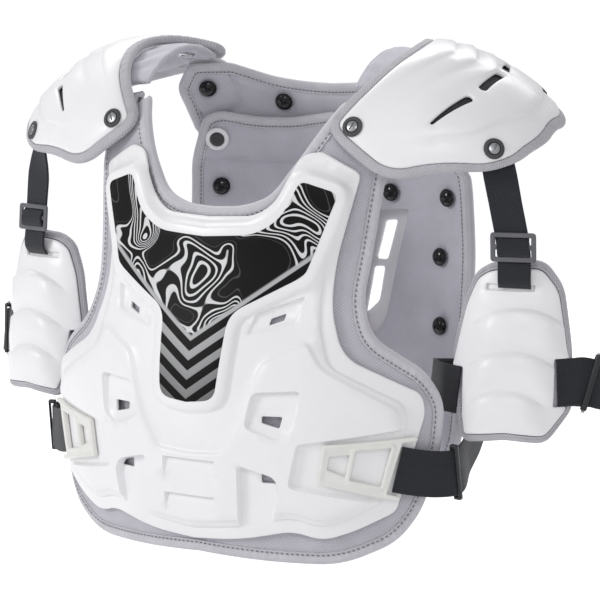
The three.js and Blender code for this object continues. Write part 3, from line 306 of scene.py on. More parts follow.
# %% Distances
def inside(points, ring, along=False):
    """Distance of each point inside a ring (negative outside), and its place along the ring."""
    tree = kdtree.KDTree(len(ring))
    for i, (x, y) in enumerate(ring.tolist()):
        tree.insert((x, y, 0), i)
    tree.balance()
    near = np.array([tree.find((x, y, 0))[1] for x, y in points.tolist()], int)
    steps = np.roll(ring, -1, 0) - ring
    sizes = np.maximum(np.linalg.norm(steps, axis=1), 1e-9)
    units = steps / sizes[:, None]
    around = (near[:, None] + np.arange(-2, 2)) % len(ring)
    offset = points[:, None] - ring[around]
    share = np.clip(np.sum(offset * steps[around], 2) / sizes[around] ** 2, 0, 1)
    gaps = np.linalg.norm(offset - share[..., None] * steps[around], axis=2)
    best = np.argmin(gaps, 1)
    rows = np.arange(len(points))
    edge = around[rows, best]
    share = share[rows, best]
    end = np.where(share >= 1, edge + 1, edge) % len(ring)
    facing = np.where(((share > 0) & (share < 1))[:, None], units[edge], units[end] + units[end - 1])
    gap = points - ring[end]
    side = np.where(facing[:, 0] * gap[:, 1] - facing[:, 1] * gap[:, 0] >= 0, 1, -1)
    out = gaps[rows, best] * side
    if not along:
        return out
    starts = np.concatenate([[0], np.cumsum(sizes)[:-1]])
    return out, starts[edge] + share * sizes[edge]


def shifted(ring, distance):
    """A ring moved inward (outward when negative), without the parts that fold over."""
    before = np.roll(ring, 1, 0)
    after = np.roll(ring, -1, 0)
    along = after - before
    along /= np.maximum(np.linalg.norm(along, axis=1, keepdims=True), 1e-9)
    moved = ring + np.stack([-along[:, 1], along[:, 0]], -1) * distance
    kept = np.abs(inside(moved, ring)) > 0.93 * abs(distance)
    return moved[kept]


print("the middle of that square is", inside(np.zeros((1, 2)), trial_ring)[0], "mm inside it")

# %% [markdown]
# A moulded plate or a pad is made flat first. Its outline, its openings and every crease are laid
# down as lines, a loose grid fills the rest, and a Delaunay mesh joins them, so creases stay
# crisp with few faces.

# %% Flat meshes
def flat_mesh(outline, openings, creases, spacing):
    """Points and triangles of the flat region, with edges along every line given."""
    lines = [outline] + openings + creases
    points = [Vector(p) for line in lines for p in line]
    edges = []
    start = 0
    for line in lines:
        n = len(line)
        gaps = np.linalg.norm(np.roll(line, -1, 0) - line, axis=1)
        edges += [(start + i, start + (i + 1) % n) for i in range(n) if gaps[i] < 4 * ring_step]
        start += n
    tree = kdtree.KDTree(len(points))
    for i, p in enumerate(points):
        tree.insert((p.x, p.y, 0), i)
    tree.balance()
    low = outline.min(0)
    high = outline.max(0)
    rows = int((high[1] - low[1]) / (spacing * 0.866)) + 1
    grid = [
        (x + (row % 2) * spacing / 2, low[1] + row * spacing * 0.866)
        for row in range(rows)
        for x in np.arange(low[0], high[0], spacing)
    ]
    grid = np.array([p for p in grid if tree.find((p[0], p[1], 0))[2] > 0.55 * spacing]).reshape(-1, 2)
    grid = grid[inside(grid, outline) > 0]
    points += [Vector(p) for p in grid]
    verts, _, faces, *_ = delaunay_2d_cdt(points, edges, [], 0, 1e-4)
    verts = np.array([tuple(v) for v in verts])
    faces = np.array([f for f in faces if len(f) == 3])
    middle = verts[faces].mean(1)
    keep = inside(middle, outline) > 0
    for opening in openings:
        keep &= inside(middle, opening) < 0
    corners = verts[faces[keep]]
    a = corners[:, 1] - corners[:, 0]
    b = corners[:, 2] - corners[:, 0]
    area = a[:, 0] * b[:, 1] - a[:, 1] * b[:, 0]
    faces = faces[keep]
    faces[area < 0] = faces[area < 0][:, ::-1]
    used, faces = np.unique(faces, return_inverse=True)
    return verts[used], faces.reshape(-1, 3)


print("flat, that square has", len(flat_mesh(trial_ring, [], [], 7)[1]), "triangles")

# %% [markdown]
# Each point then gets a height on both faces. Along the outline and round each opening the two
# faces come together in a quarter round, as a moulded edge or a stuffed one does.

# %% Plates
def even(level):
    """The same height all over a face."""
    return lambda flat: level + 0 * flat[:, 0]


def rounded(distance, radius):
    """Share of the full height at a distance from an edge that is a quarter round."""
    x = np.clip(distance / radius, 0, 1)
    return np.sqrt(np.maximum(1 - (1 - x) ** 2, 0))


def plate(outline, openings, creases, top, bottom, spacing=7, edge=1.2, hole_edge=0.6, uv=None):
    """A closed plate: flat places, heights and faces, its boundary shared by both faces."""
    lines = list(creases)
    for share in (0.15, 0.5, 1):
        lines.append(shifted(outline, edge * share))
        lines += [shifted(opening, -hole_edge * share) for opening in openings]
    flat, faces = flat_mesh(outline, openings, lines, spacing)
    share = rounded(inside(flat, outline), edge)
    for opening in openings:
        share = np.minimum(share, rounded(-inside(flat, opening), hole_edge))
    sides = np.sort(np.concatenate([faces[:, [0, 1]], faces[:, [1, 2]], faces[:, [2, 0]]]), axis=1)
    pairs, counts = np.unique(sides, axis=0, return_counts=True)
    border = np.zeros(len(flat), bool)
    border[pairs[counts == 1].ravel()] = True
    share[border] = 0
    high = top(flat)
    low = bottom(flat)
    middle = (high + low) / 2
    n = len(flat)
    under = np.where(border, np.arange(n), np.cumsum(~border) - 1 + n)
    inner = ~border
    places = np.concatenate([flat, flat[inner]])
    heights = np.concatenate([middle + (high - middle) * share, (middle + (low - middle) * share)[inner]])
    chart = flat if uv is None else uv(flat)
    charts = np.concatenate([chart, chart[inner]])
    return places, heights, np.concatenate([faces, under[faces[:, ::-1]]]), charts


trial_plate = plate(trial_ring, [], [], even(2), even(0))
print("as a plate it has", len(trial_plate[2]), "triangles and is", np.ptp(trial_plate[1]), "mm thick")

# %% [markdown]
# A plate is bent on its surface and becomes an object with its material, and the solids it
# stands for are hidden. Most pieces come as a left one and its mirror image.

# %% Objects
def mesh_object(name, verts, faces, material, nodes=(), charts=None, flip=False, sharp=55):
    """An object in metres from points in millimetres, smooth but for its sharp edges."""
    mesh = bpy.data.meshes.new(name)
    faces = [tuple(int(i) for i in (f[::-1] if flip else f)) for f in faces]
    mesh.from_pydata([tuple(v) for v in np.asarray(verts) * mm], [], faces)
    if charts is not None:
        layer = mesh.uv_layers.new(name="chart")
        index = np.empty(len(mesh.loops), np.int32)
        mesh.loops.foreach_get("vertex_index", index)
        layer.data.foreach_set("uv", (np.asarray(charts)[index] * mm).astype(np.float32).ravel())
    mesh.shade_smooth()
    mesh.set_sharp_from_angle(angle=math.radians(sharp))
    mesh.materials.append(material)
    piece = bpy.data.objects.new(name, mesh)
    bpy.context.collection.objects.link(piece)
    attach(piece, "root")
    if nodes:
        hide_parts(*nodes)
    print(name, len(faces), "triangles")
    return piece


def object_pair(name, verts, faces, material, nodes=(), charts=None, flip=False, sharp=55):
    """The left piece and its mirror image on the right."""
    pieces = []
    for side, sign in (("left", 1), ("right", -1)):
        own = [f"{node}_{side}" for node in nodes]
        turned = flip != (sign < 0)
        placed_verts = verts * [sign, 1, 1]
        pieces.append(
            mesh_object(f"{name}_{side}", placed_verts, faces, material, own, charts, turned, sharp)
        )
    return pieces


def show(name, made, surface, material, nodes=(), turned=False):
    """Bends a plate on its surface and makes its object."""
    places, heights, faces, charts = made
    verts = surface(places[:, 0], places[:, 1], heights)
    return mesh_object(name, verts, faces, material, nodes, charts, turned)


def show_pair(name, made, surface, material, nodes=()):
    places, heights, faces, charts = made
    verts = surface(places[:, 0], places[:, 1], heights)
    return object_pair(name, verts, faces, material, nodes, charts)


# %% [markdown]
# Colours are read from the product as sRGB hex and turned to linear light, which is what the
# shaders work in. One function adds a node, sets its settings and links or fills its inputs.

# %% Colour and node helpers
def linear(code):
    values = [int(code[i : i + 2], 16) / 255 for i in (1, 3, 5)]
    return tuple(v / 12.92 if v <= 0.04045 else ((v + 0.055) / 1.055) ** 2.4 for v in values) + (1.0,)


def add(tree, kind, inputs=None, **settings):
    node = tree.nodes.new(kind)
    for key, value in settings.items():
        setattr(node, key, value)
    for key, value in (inputs or {}).items():
        if isinstance(value, bpy.types.NodeSocket):
            tree.links.new(value, node.inputs[key])
        else:
            node.inputs[key].default_value = value
    return node


def new_material(name):
    material = bpy.data.materials.new(name)
    material.use_nodes = True
    material.node_tree.nodes.clear()
    return material, material.node_tree


def finish_material(tree, shader):
    add(tree, "ShaderNodeOutputMaterial", {"Surface": shader.outputs["BSDF"]})


print("middle grey #808080 in linear light:", [round(v, 3) for v in linear("#808080")[:3]])

# %% [markdown]
# The plates are injection-moulded polypropylene in white: IOR about 1.49, a satin gloss of
# roughness 0.3 to 0.4, a faint orange-peel of 1.5 mm from the tool, and hair scuffs from use.
# Dust gathers a little where the noise is low, so the white is never quite even.

# %% White polypropylene
def moulded_plastic(name, code, dark_code, roughness, peel=1.5, grain=0.0):
    material, tree = new_material(name)
    place = add(tree, "ShaderNodeTexCoord").outputs["Object"]
    clouds = add(tree, "ShaderNodeTexNoise", {"Vector": place, "Scale": 1 / (60 * mm), "Detail": 4.0})
    share = add(
        tree, "ShaderNodeMapRange", {"Value": clouds.outputs["Fac"], "From Min": 0.3, "From Max": 0.62}
    )
    color = add(
        tree,
        "ShaderNodeMix",
        {"Factor": share.outputs[0], "A": linear(dark_code), "B": linear(code)},
        data_type="RGBA",
    )
    stretch = add(tree, "ShaderNodeMapping", {"Vector": place, "Scale": (1, 1, 0.12)})
    scuffs = add(
        tree, "ShaderNodeTexNoise", {"Vector": stretch.outputs[0], "Scale": 1 / (1.6 * mm), "Detail": 3.0}
    )
    rough = add(
        tree,
        "ShaderNodeMapRange",
        {
            "Value": scuffs.outputs["Fac"],
            "From Min": 0.35,
            "From Max": 0.75,
            "To Min": roughness - 0.04,
            "To Max": roughness + 0.1,
        },
    )
    skin = add(tree, "ShaderNodeTexNoise", {"Vector": place, "Scale": 1 / (peel * mm), "Detail": 2.0})
    bump = add(
        tree,
        "ShaderNodeBump",
        {"Height": skin.outputs["Fac"], "Strength": 0.12 + grain, "Distance": 0.1 * mm},
    )
    shader = add(
        tree,
        "ShaderNodeBsdfPrincipled",
        {
            "Base Color": color.outputs["Result"],
            "Roughness": rough.outputs[0],
            "IOR": 1.49,
            "Normal": bump.outputs["Normal"],
        },
    )
    finish_material(tree, shader)
    return material


white_polypropylene = moulded_plastic("white moulded polypropylene", "#F4F3F4", "#EFEEF0", 0.32)
white_acetal = moulded_plastic("off-white moulded acetal", "#E9E8E4", "#E2E1DC", 0.42, 0.8, 0.1)
black_acetal = moulded_plastic("black moulded acetal", "#2C2D30", "#222326", 0.33, 1.0)
black_nylon = moulded_plastic("black polished nylon", "#0E0E10", "#08080A", 0.1, 9, -0.12)
print("white plastic has", len(white_polypropylene.node_tree.nodes), "nodes")

# %% [markdown]
# The lining is a warp-knitted spacer mesh, the edges are a woven tape and the straps are nylon.
# All are rows of round yarns that cross. Real ones lie 0.3 to 0.5 mm apart, which is too fine to
# show here, so they are drawn about a millimetre apart. Two sine waves multiplied make the yarn
# tops, a fine noise adds fuzz, and a wide one keeps the tone uneven.
# The chart coordinates lie flat along each piece in real lengths, so the rows follow its edges.

# %% Cloth, tape, thread and webbing
def yarn_cloth(name, code, gap_shade_code, pitch, depth, turn=35):
    material, tree = new_material(name)
    chart = add(tree, "ShaderNodeTexCoord").outputs["UV"]
    turned = add(tree, "ShaderNodeMapping", {"Vector": chart, "Rotation": (0, 0, math.radians(turn))})
    scale = 1 / (pitch * mm) / (2 * math.pi)
    across = add(
        tree, "ShaderNodeTexWave", {"Vector": turned.outputs[0], "Scale": scale}, bands_direction="X"
    )
    along = add(
        tree, "ShaderNodeTexWave", {"Vector": turned.outputs[0], "Scale": scale}, bands_direction="Y"
    )
    yarns = add(
        tree, "ShaderNodeMath", {0: across.outputs["Fac"], 1: along.outputs["Fac"]}, operation="MULTIPLY"
    )
    fuzz = add(tree, "ShaderNodeTexNoise", {"Vector": chart, "Scale": 1 / (0.8 * mm), "Detail": 3.0})
    height = add(
        tree,
        "ShaderNodeMath",
        {0: fuzz.outputs["Fac"], 1: 0.35, 2: yarns.outputs[0]},
        operation="MULTIPLY_ADD",
    )
    share = add(
        tree, "ShaderNodeMapRange", {"Value": height.outputs[0], "From Min": 0.12, "From Max": 0.6}
    )
    # Where the yarns dip, the colour goes to the darker gap colour: painted shade, the shade that falls
    # between the yarns.
    color = add(
        tree,
        "ShaderNodeMix",
        {"Factor": share.outputs[0], "A": linear(gap_shade_code), "B": linear(code)},
        data_type="RGBA",
    )
    clouds = add(tree, "ShaderNodeTexNoise", {"Vector": chart, "Scale": 1 / (22 * mm), "Detail": 4.0})
    value = add(
        tree,
        "ShaderNodeMapRange",
        {
            "Value": clouds.outputs["Fac"],
            "From Min": 0.3,
            "From Max": 0.7,
            "To Min": 0.94,
            "To Max": 1.05,
        },
    )
    toned = add(
        tree, "ShaderNodeHueSaturation", {"Color": color.outputs["Result"], "Value": value.outputs[0]}
    )
    bump = add(
        tree, "ShaderNodeBump", {"Height": height.outputs[0], "Strength": 0.5, "Distance": depth * mm}
    )
    shader = add(
        tree,
        "ShaderNodeBsdfPrincipled",
        {
            "Base Color": toned.outputs["Color"],
            "Roughness": 0.88,
            "IOR": 1.5,
            "Sheen Weight": 0.2,
            "Sheen Roughness": 0.5,
            "Normal": bump.outputs["Normal"],
        },
    )
    finish_material(tree, shader)
    return material


spacer_mesh = yarn_cloth("grey polyester spacer mesh", "#CAC8CF", "#B1AFB8", 0.95, 0.3)
lining_twill = yarn_cloth("grey polyester lining twill", "#CDCBD3", "#BAB8C1", 0.9, 0.25, 50)
binding_tape = yarn_cloth("grey polyester binding tape", "#CFCDD2", "#C0BEC4", 0.9, 0.12, 0)
# The thread is drawn mid grey, darker than the light tape it lies in: this paints the shade round each
# stitch.
thread_painted_dark = yarn_cloth("sewing thread, grey as painted shade", "#8B8991", "#75737B", 0.8, 0.1, 45)
black_webbing = yarn_cloth("black nylon webbing", "#26282F", "#1B1C21", 0.95, 0.35, 0)
black_elastic = yarn_cloth("black knitted elastic", "#24262C", "#191A1F", 1.0, 0.3, 0)
print("cloth has", len(spacer_mesh.node_tree.nodes), "nodes")

# %% [markdown]
# The screws are zinc-plated steel, dulled by fine scratches, and they sit in black rubber washers
# with a soft, dusty surface.

# %% Zinc-plated steel and rubber
zinc_steel, tree = new_material("zinc-plated steel")
place = add(tree, "ShaderNodeTexCoord").outputs["Object"]
scratches = add(tree, "ShaderNodeTexNoise", {"Vector": place, "Scale": 1 / (0.7 * mm), "Detail": 4.0})
metal_bump = add(
    tree, "ShaderNodeBump", {"Height": scratches.outputs["Fac"], "Strength": 0.2, "Distance": 0.05 * mm}
)
share = add(
    tree, "ShaderNodeMapRange", {"Value": scratches.outputs["Fac"], "From Min": 0.3, "From Max": 0.7}
)
color = add(
    tree,
    "ShaderNodeMix",
    {"Factor": share.outputs[0], "A": linear("#8C8D90"), "B": linear("#C9CACD")},
    data_type="RGBA",
)
shader = add(
    tree,
    "ShaderNodeBsdfPrincipled",
    {
        "Base Color": color.outputs["Result"],
        "Metallic": 1.0,
        "Roughness": 0.3,
        "Normal": metal_bump.outputs["Normal"],
    },
)
finish_material(tree, shader)
black_rubber = moulded_plastic("black rubber", "#4A4A4C", "#3E3E40", 0.6, 0.9, 0.1)
print("materials so far:", len(bpy.data.materials))

# %% [markdown]
# Moulded levels of the chest plate, measured outward from the face that lies on the liner. The
# rim is the thin flange, the body stands on it, and the lower plates and the framed field of
# the inlay stand on the body.

# %% Chest plate tables
shell_wall = 2.8
rim_level = shell_wall
body_level = rim_level + 3.6
belly_level = body_level + 3.2
field_level = body_level + 4.6
recess_level = belly_level - 5.4
pocket_depth = 6
rib_depth = 4.4
body_slope = 2.6
belly_slope = 4
pocket_slope = 1.7
recess_slope = 2.6
rib_slope = 1.2

shell_ring = whole_ring(
    table(
        (0, 0.304, 0), (0.2, 0.299, 0.05), (0.275, 0.272, 0.06), (0.365, 0.18, 0.05),
        (0.44, 0.172, 0.02), (0.605, 0.214, 0.03), (0.53, 0.3825, 0.08), (0.53, 0.47, 0.1),
        (0.6, 0.565, 0.08), (0.92, 0.638, 0.05), (0.94, 0.675, 0.04), (0.84, 0.84, 0.03),
        (0.82, 0.872, 0.05), (0.655, 0.91, 0.04), (0.53, 0.93, 0.06), (0.415, 0.912, 0.06),
        (0.2, 0.936, 0.1), (0, 0.9425, 0),
    ),
    half_chest,
)
body_ring = whole_ring(
    table(
        (0, 0.317, 0), (0.21, 0.312, 0.05), (0.3, 0.282, 0.05), (0.4, 0.207, 0.03),
        (0.575, 0.243, 0.03), (0.495, 0.4, 0.08), (0.495, 0.49, 0.1), (0.55, 0.58, 0.05),
        (0.85, 0.653, 0.04), (0.875, 0.69, 0.03), (0.79, 0.85, 0.04), (0.61, 0.893, 0.04),
        (0.52, 0.905, 0.05), (0.41, 0.886, 0.05), (0.2, 0.912, 0.1), (0, 0.922, 0),
    ),
    half_chest,
)
belly_ring = whole_ring(
    table(
        (0, 0.76, 0), (0.14, 0.755, 0.02), (0.215, 0.685, 0.04), (0.285, 0.575, 0.04),
        (0.46, 0.528, 0.04), (0.525, 0.58, 0.04), (0.825, 0.66, 0.04), (0.85, 0.692, 0.03),
        (0.768, 0.842, 0.04), (0.6, 0.883, 0.04), (0.52, 0.894, 0.05), (0.41, 0.875, 0.05),
        (0.2, 0.901, 0.1), (0, 0.911, 0),
    ),
    half_chest,
)
inlay_ring = whole_ring(
    table(
        (0, 0.34, 0), (0.21, 0.333, 0.06), (0.31, 0.3, 0.08), (0.375, 0.226, 0.03),
        (0.525, 0.25, 0.035), (0.42, 0.41, 0.03), (0.145, 0.487, 0.06), (0.13, 0.6, 0.04),
        (0.12, 0.655, 0.07), (0, 0.6625, 0),
    ),
    half_chest,
)
clip_recess = side_ring(
    table(
        (0.44, 0.732, 0.02), (0.92, 0.697, 0), (1.1, 0.697, 0), (1.1, 0.9, 0), (0.86, 0.862, 0),
        (0.4, 0.822, 0.03),
    ),
    half_chest,
)

# %% [markdown]
# Three vent pockets on each side are steep at the top and run out level at the bottom, and each
# has a small window to the mesh behind. The lowest ones are channels open to the rim.

# %% Vent pockets
Pocket = namedtuple("Pocket", "base depth ease outline window")
pockets = [
    Pocket(
        body_level,
        0.75 * pocket_depth,
        0.7,
        table((0.245, 0.483, 0.01), (0.43, 0.448, 0.01), (0.405, 0.5, 0.01), (0.215, 0.53, 0.01)),
        table((0.3, 0.5075, 0.005), (0.305, 0.4955, 0.005), (0.36, 0.485, 0.005), (0.355, 0.4975, 0.005)),
    ),
    Pocket(
        belly_level,
        pocket_depth,
        0.6,
        table(
            (0.265, 0.634, 0.03), (0.455, 0.627, 0.03), (0.43, 0.712, 0.04), (0.37, 0.731, 0.03),
            (0.235, 0.705, 0.03),
        ),
        table((0.303, 0.682, 0.006), (0.383, 0.682, 0.006), (0.373, 0.704, 0.006), (0.303, 0.695, 0.006)),
    ),
    Pocket(
        belly_level,
        1.15 * pocket_depth,
        0.35,
        table(
            (0.205, 0.779, 0.02), (0.35, 0.8, 0.03), (0.372, 0.822, 0.02), (0.315, 0.965, 0),
            (0.205, 0.965, 0),
        ),
        table((0.297, 0.796, 0.006), (0.345, 0.804, 0.01), (0.36, 0.816, 0.006), (0.297, 0.816, 0.006)),
    ),
]
Rib = namedtuple("Rib", "half top bottom")
ribs = [Rib(0.115, 0.776, 0.832), Rib(0.112, 0.85, 0.893)]

field_border = 5.5
field_slope = 6
pocket_rings = [side_ring(p.outline, half_chest) for p in pockets]
window_rings = [side_ring(p.window, half_chest, 1.5) for p in pockets]
rib_rings = [
    box_ring(-r.half * half_chest, r.half * half_chest, -r.bottom * torso_height, -r.top * torso_height)
    for r in ribs
]
print("pocket outlines:", [len(ring) for ring in pocket_rings], "points")

# %% [markdown]
# The relief of the chest plate is worked out level by level. The highest of rim, body, belly and
# inlay field counts, then pockets, clip recesses and ribs are pressed into it.

# %% Chest relief
def pressed(level, floor, depth, slope):
    """The level pressed down to a floor where depth, the distance inside a ring, is positive."""
    return np.where(depth > 0, level + (np.minimum(level, floor) - level) * smooth(depth / slope), level)


def chest_level(flat):
    """Outward level of the chest plate's face at each flat place."""
    side = folded(flat)
    z = flat[:, 1]
    body = inside(flat, body_ring)
    belly = inside(flat, belly_ring)
    outside_inlay = -inside(flat, inlay_ring)
    level = rim_level + (body_level - rim_level) * smooth(body / body_slope)
    belly_rise = (belly_level - body_level) * smooth(belly / belly_slope)
    level = np.where(belly < 0, level, np.maximum(level, body_level + belly_rise))
    beside_wings = smooth((-z - 85) / 40) * smooth((185 + z) / 15) * smooth((side[:, 0] - 70) / 20)
    fall = smooth((outside_inlay - field_border) / (field_slope + 6 * beside_wings))
    level = np.maximum(level, field_level - (field_level - body_level + 2.6) * fall)
    for pocket, ring in zip(pockets, pocket_rings):
        depth = inside(side, ring)
        top = ring[:, 1].max()
        low = ring[:, 1].min()
        run = np.clip((top - z) / (top - low), 0, 1)
        floor = pocket.base - pocket.depth * (1 - pocket.ease * run**1.6)
        level = pressed(level, floor, depth, pocket_slope)
    level = pressed(level, recess_level, inside(side, clip_recess), recess_slope)
    for rib, ring in zip(ribs, rib_rings):
        run = np.clip((-z / torso_height - rib.top) / (rib.bottom - rib.top), 0, 1)
        depth = inside(flat, ring)
        level = level - rib_depth * (1 - run) * smooth(depth / rib_slope) * (depth > 0)
    return level


belly_middle = np.array([[0, -0.7 * torso_height]])
print("level at the middle of the belly:", chest_level(belly_middle).round(2), "mm")

# %% [markdown]
# The chest plate is one moulding. Its back follows its face, 2.8 mm behind, as a vacuum-formed
# or injected wall does, and all its edges are rounded over by about a millimetre.

# %% Chest plate
def crease_lines(ring, *distances):
    return [shifted(ring, d) if d else ring for d in distances]


chest_creases = crease_lines(body_ring, 0, 0.9, 1.8, 2.6)
chest_creases += crease_lines(belly_ring, 0, 1.4, 2.8, 4)
chest_creases += crease_lines(inlay_ring, 0, -5.5, -7.5, -9.5, -11.5)
for ring in pocket_rings:
    chest_creases += both_sides(crease_lines(ring, 0, 0.6, 1.2, 1.8))
chest_creases += both_sides(crease_lines(clip_recess, 0, 0.9, 1.8, 2.6))
for ring in rib_rings:
    chest_creases += crease_lines(ring, 0, 0.6, 1.2)
chest_creases = [line[inside(line, shell_ring) > 1.6] for line in chest_creases]
chest_creases = [line for line in chest_creases if len(line) > 3]
chest_plate = plate(
    shell_ring,
    both_sides(window_rings),
    chest_creases,
    chest_level,
    lambda flat: chest_level(flat) - shell_wall,
    spacing=6,
    edge=1.3,
)
show("chest_plate", chest_plate, chest_surface, white_polypropylene, ["chest_shell"])

# %% [markdown]
# The inlay is a printed polycarbonate film in a framed field. The print is a generic one: fine
# height lines as on a map run over the wide top, and grey chevrons fill the narrow end.

# %% Chevrons
chevron_slope = 0.75
chevron_pitch = 15
inlay_film, tree = new_material("printed polycarbonate film")
chart = add(tree, "ShaderNodeTexCoord").outputs["UV"]
place = add(tree, "ShaderNodeSeparateXYZ", {"Vector": chart})
across = add(tree, "ShaderNodeMath", {0: place.outputs["X"]}, operation="ABSOLUTE")
chevron = add(
    tree,
    "ShaderNodeMath",
    {0: across.outputs[0], 1: -chevron_slope, 2: place.outputs["Y"]},
    operation="MULTIPLY_ADD",
)
chevron_turns = add(
    tree, "ShaderNodeMath", {0: chevron.outputs[0], 1: 1 / (chevron_pitch * mm)}, operation="MULTIPLY"
)
chevron_place = add(tree, "ShaderNodeMath", {0: chevron_turns.outputs[0]}, operation="FRACT")
chevron_bar = add(
    tree, "ShaderNodeMapRange", {"Value": chevron_place.outputs[0], "From Min": 0.5, "From Max": 0.54}
)
chevron_fade = add(
    tree,
    "ShaderNodeMapRange",
    {"Value": chevron.outputs[0], "From Min": -0.285, "From Max": -0.2, "To Min": 0.12, "To Max": 0.62},
)
chevron_grey = add(
    tree,
    "ShaderNodeMath",
    {0: chevron_bar.outputs[0], 1: chevron_fade.outputs[0]},
    operation="MULTIPLY",
)
print("chevrons are", chevron_pitch, "mm apart")

# %% [markdown]
# The height lines come from one wide noise, the hills. Cut at even heights it gives lines that
# never cross, and they fade out where the hills are low.

# %% Height lines
hill_width = 50
line_count = 24.0
hills = add(
    tree,
    "ShaderNodeTexNoise",
    {"Vector": chart, "Scale": 1 / (hill_width * mm), "Detail": 1.0, "Distortion": 0.5},
)
height = add(tree, "ShaderNodeMath", {0: hills.outputs["Fac"], 1: line_count}, operation="MULTIPLY")
height_place = add(tree, "ShaderNodeMath", {0: height.outputs[0], 1: 0.5}, operation="PINGPONG")
height_line = add(
    tree,
    "ShaderNodeMapRange",
    {"Value": height_place.outputs[0], "From Min": 0.2, "From Max": 0.15, "To Max": 0.8},
)
bold = add(tree, "ShaderNodeMapRange", {"Value": hills.outputs["Fac"], "From Min": 0.46, "From Max": 0.5})
line_grey = add(
    tree,
    "ShaderNodeMath",
    {0: height_line.outputs[0], 1: bold.outputs[0]},
    operation="MULTIPLY",
)
print("nodes so far:", len(tree.nodes))

# %% [markdown]
# A short step between the two prints keeps them apart. The film lies in its field, a little
# proud of it, and is hardly glossy, so that its black stays black.

# %% Printed inlay
lower = add(
    tree,
    "ShaderNodeMapRange",
    {"Value": chevron.outputs[0], "From Min": -0.212, "From Max": -0.214},
)
marks = add(
    tree,
    "ShaderNodeMix",
    {"Factor": lower.outputs[0], "A": line_grey.outputs[0], "B": chevron_grey.outputs[0]},
    data_type="FLOAT",
)
print_color = add(
    tree,
    "ShaderNodeMix",
    {"Factor": marks.outputs["Result"], "A": linear("#060607"), "B": linear("#F1F1F2")},
    data_type="RGBA",
)
shader = add(
    tree,
    "ShaderNodeBsdfPrincipled",
    {
        "Base Color": print_color.outputs["Result"],
        "Roughness": 0.5,
        "IOR": 1.58,
        "Specular IOR Level": 0.15,
    },
)
finish_material(tree, shader)
film_proud = 0.45
film_thick = 0.8
film_low = field_level + film_proud - film_thick
inlay = plate(shifted(inlay_ring, 0.4), [], [], even(field_level + film_proud), even(film_low), 8, edge=0.4)
show("inlay", inlay, chest_surface, inlay_film, ["chest_graphic_panel"])

# %% [markdown]
# Sewn and stuffed things are never quite even. One wave wanders along an edge, for tape that
# puckers between its stitches, and one lays soft hills over a face. Their seeds are fixed.

# %% Unevenness
def ripple(place, period, seed):
    """A wave along an edge whose pitch and height wander."""
    wander = np.sin(place / (3.1 * period) + seed) + 0.6 * np.sin(place / (1.7 * period) + 2.3 * seed)
    return np.sin(2 * math.pi * place / period + 1.5 * wander) * (0.75 + 0.25 * wander)


def soft_noise(flat, scale, seed):
    """Low wandering hills and hollows between -1 and 1."""
    random.seed(seed)
    total = np.zeros(len(flat))
    for _ in range(6):
        turn = random.uniform(0, math.pi)
        size = scale * random.uniform(0.7, 1.6)
        wave = flat[:, 0] * math.cos(turn) + flat[:, 1] * math.sin(turn)
        total += np.sin(wave * 2 * math.pi / size + random.uniform(0, 6.3))
    return total / 3.2


print("a pucker along 40 mm:", ripple(np.arange(0, 40, 8.0), 7.5, 1).round(2))

# %% [markdown]
# The liners are foam in spacer mesh, and a folded tape binds their edges. Foam is cut with square
# edges, but the bound edge is drawn round, and a groove shows where the thread pulls it in. The
# tape's chart runs along the edge, so its weave follows it round every corner.

# %% Binding tape
liner_high = -1.5
liner_low = liner_high - liner_thick
binding_width = 11
binding_nose = 4.4
hem_overlap = 1.5
stitch_inset = 8.4
groove_depth = 0.85
groove_width = 1.1
pucker_period = 7.5


def binding(ring, high, low, seed, pucker=0.3):
    """The tape round one edge: a ring with a round nose and a turned-in hem."""
    def waves(flat):
        depth, place = inside(flat, ring, along=True)
        near = smooth((depth - 2) / 4)
        stitched = np.exp(-(((depth - stitch_inset) / groove_width) ** 2))
        return pucker * near * ripple(place, pucker_period, seed) - groove_depth * stitched

    def chart(flat):
        depth, place = inside(flat, ring, along=True)
        return np.stack([place, depth], -1)

    creases = [shifted(ring, binding_width * share) for share in (0.28, 0.45, 0.6, 0.7, 0.76, 0.83, 0.9)]
    return plate(
        ring,
        [shifted(ring, binding_width)],
        creases,
        lambda flat: high + waves(flat),
        lambda flat: low - waves(flat),
        spacing=6,
        edge=binding_nose,
        hole_edge=0.9,
        uv=chart,
    )


print("bound edges are", liner_high - liner_low, "mm thick and", binding_width, "mm wide")

# %% [markdown]
# Each stitch is a small rounded bar of its own that lies in the groove along the edge. Real ones
# are about 2.5 mm apart and hardly show here, so they are drawn at 4 mm, with thicker thread. The
# thread's mid grey, darker than the tape, is painted shade round the stitches. All the stitches of
# an edge are joined in one piece.

# %% Stitches
stitch_long = 2.5
stitch_thick = 1.0
stitch_pitch = 4.1
stitch_sides = 6
stitch_form = [(-1, 0.25), (-0.7, 0.9), (0.7, 0.9), (1, 0.25)]


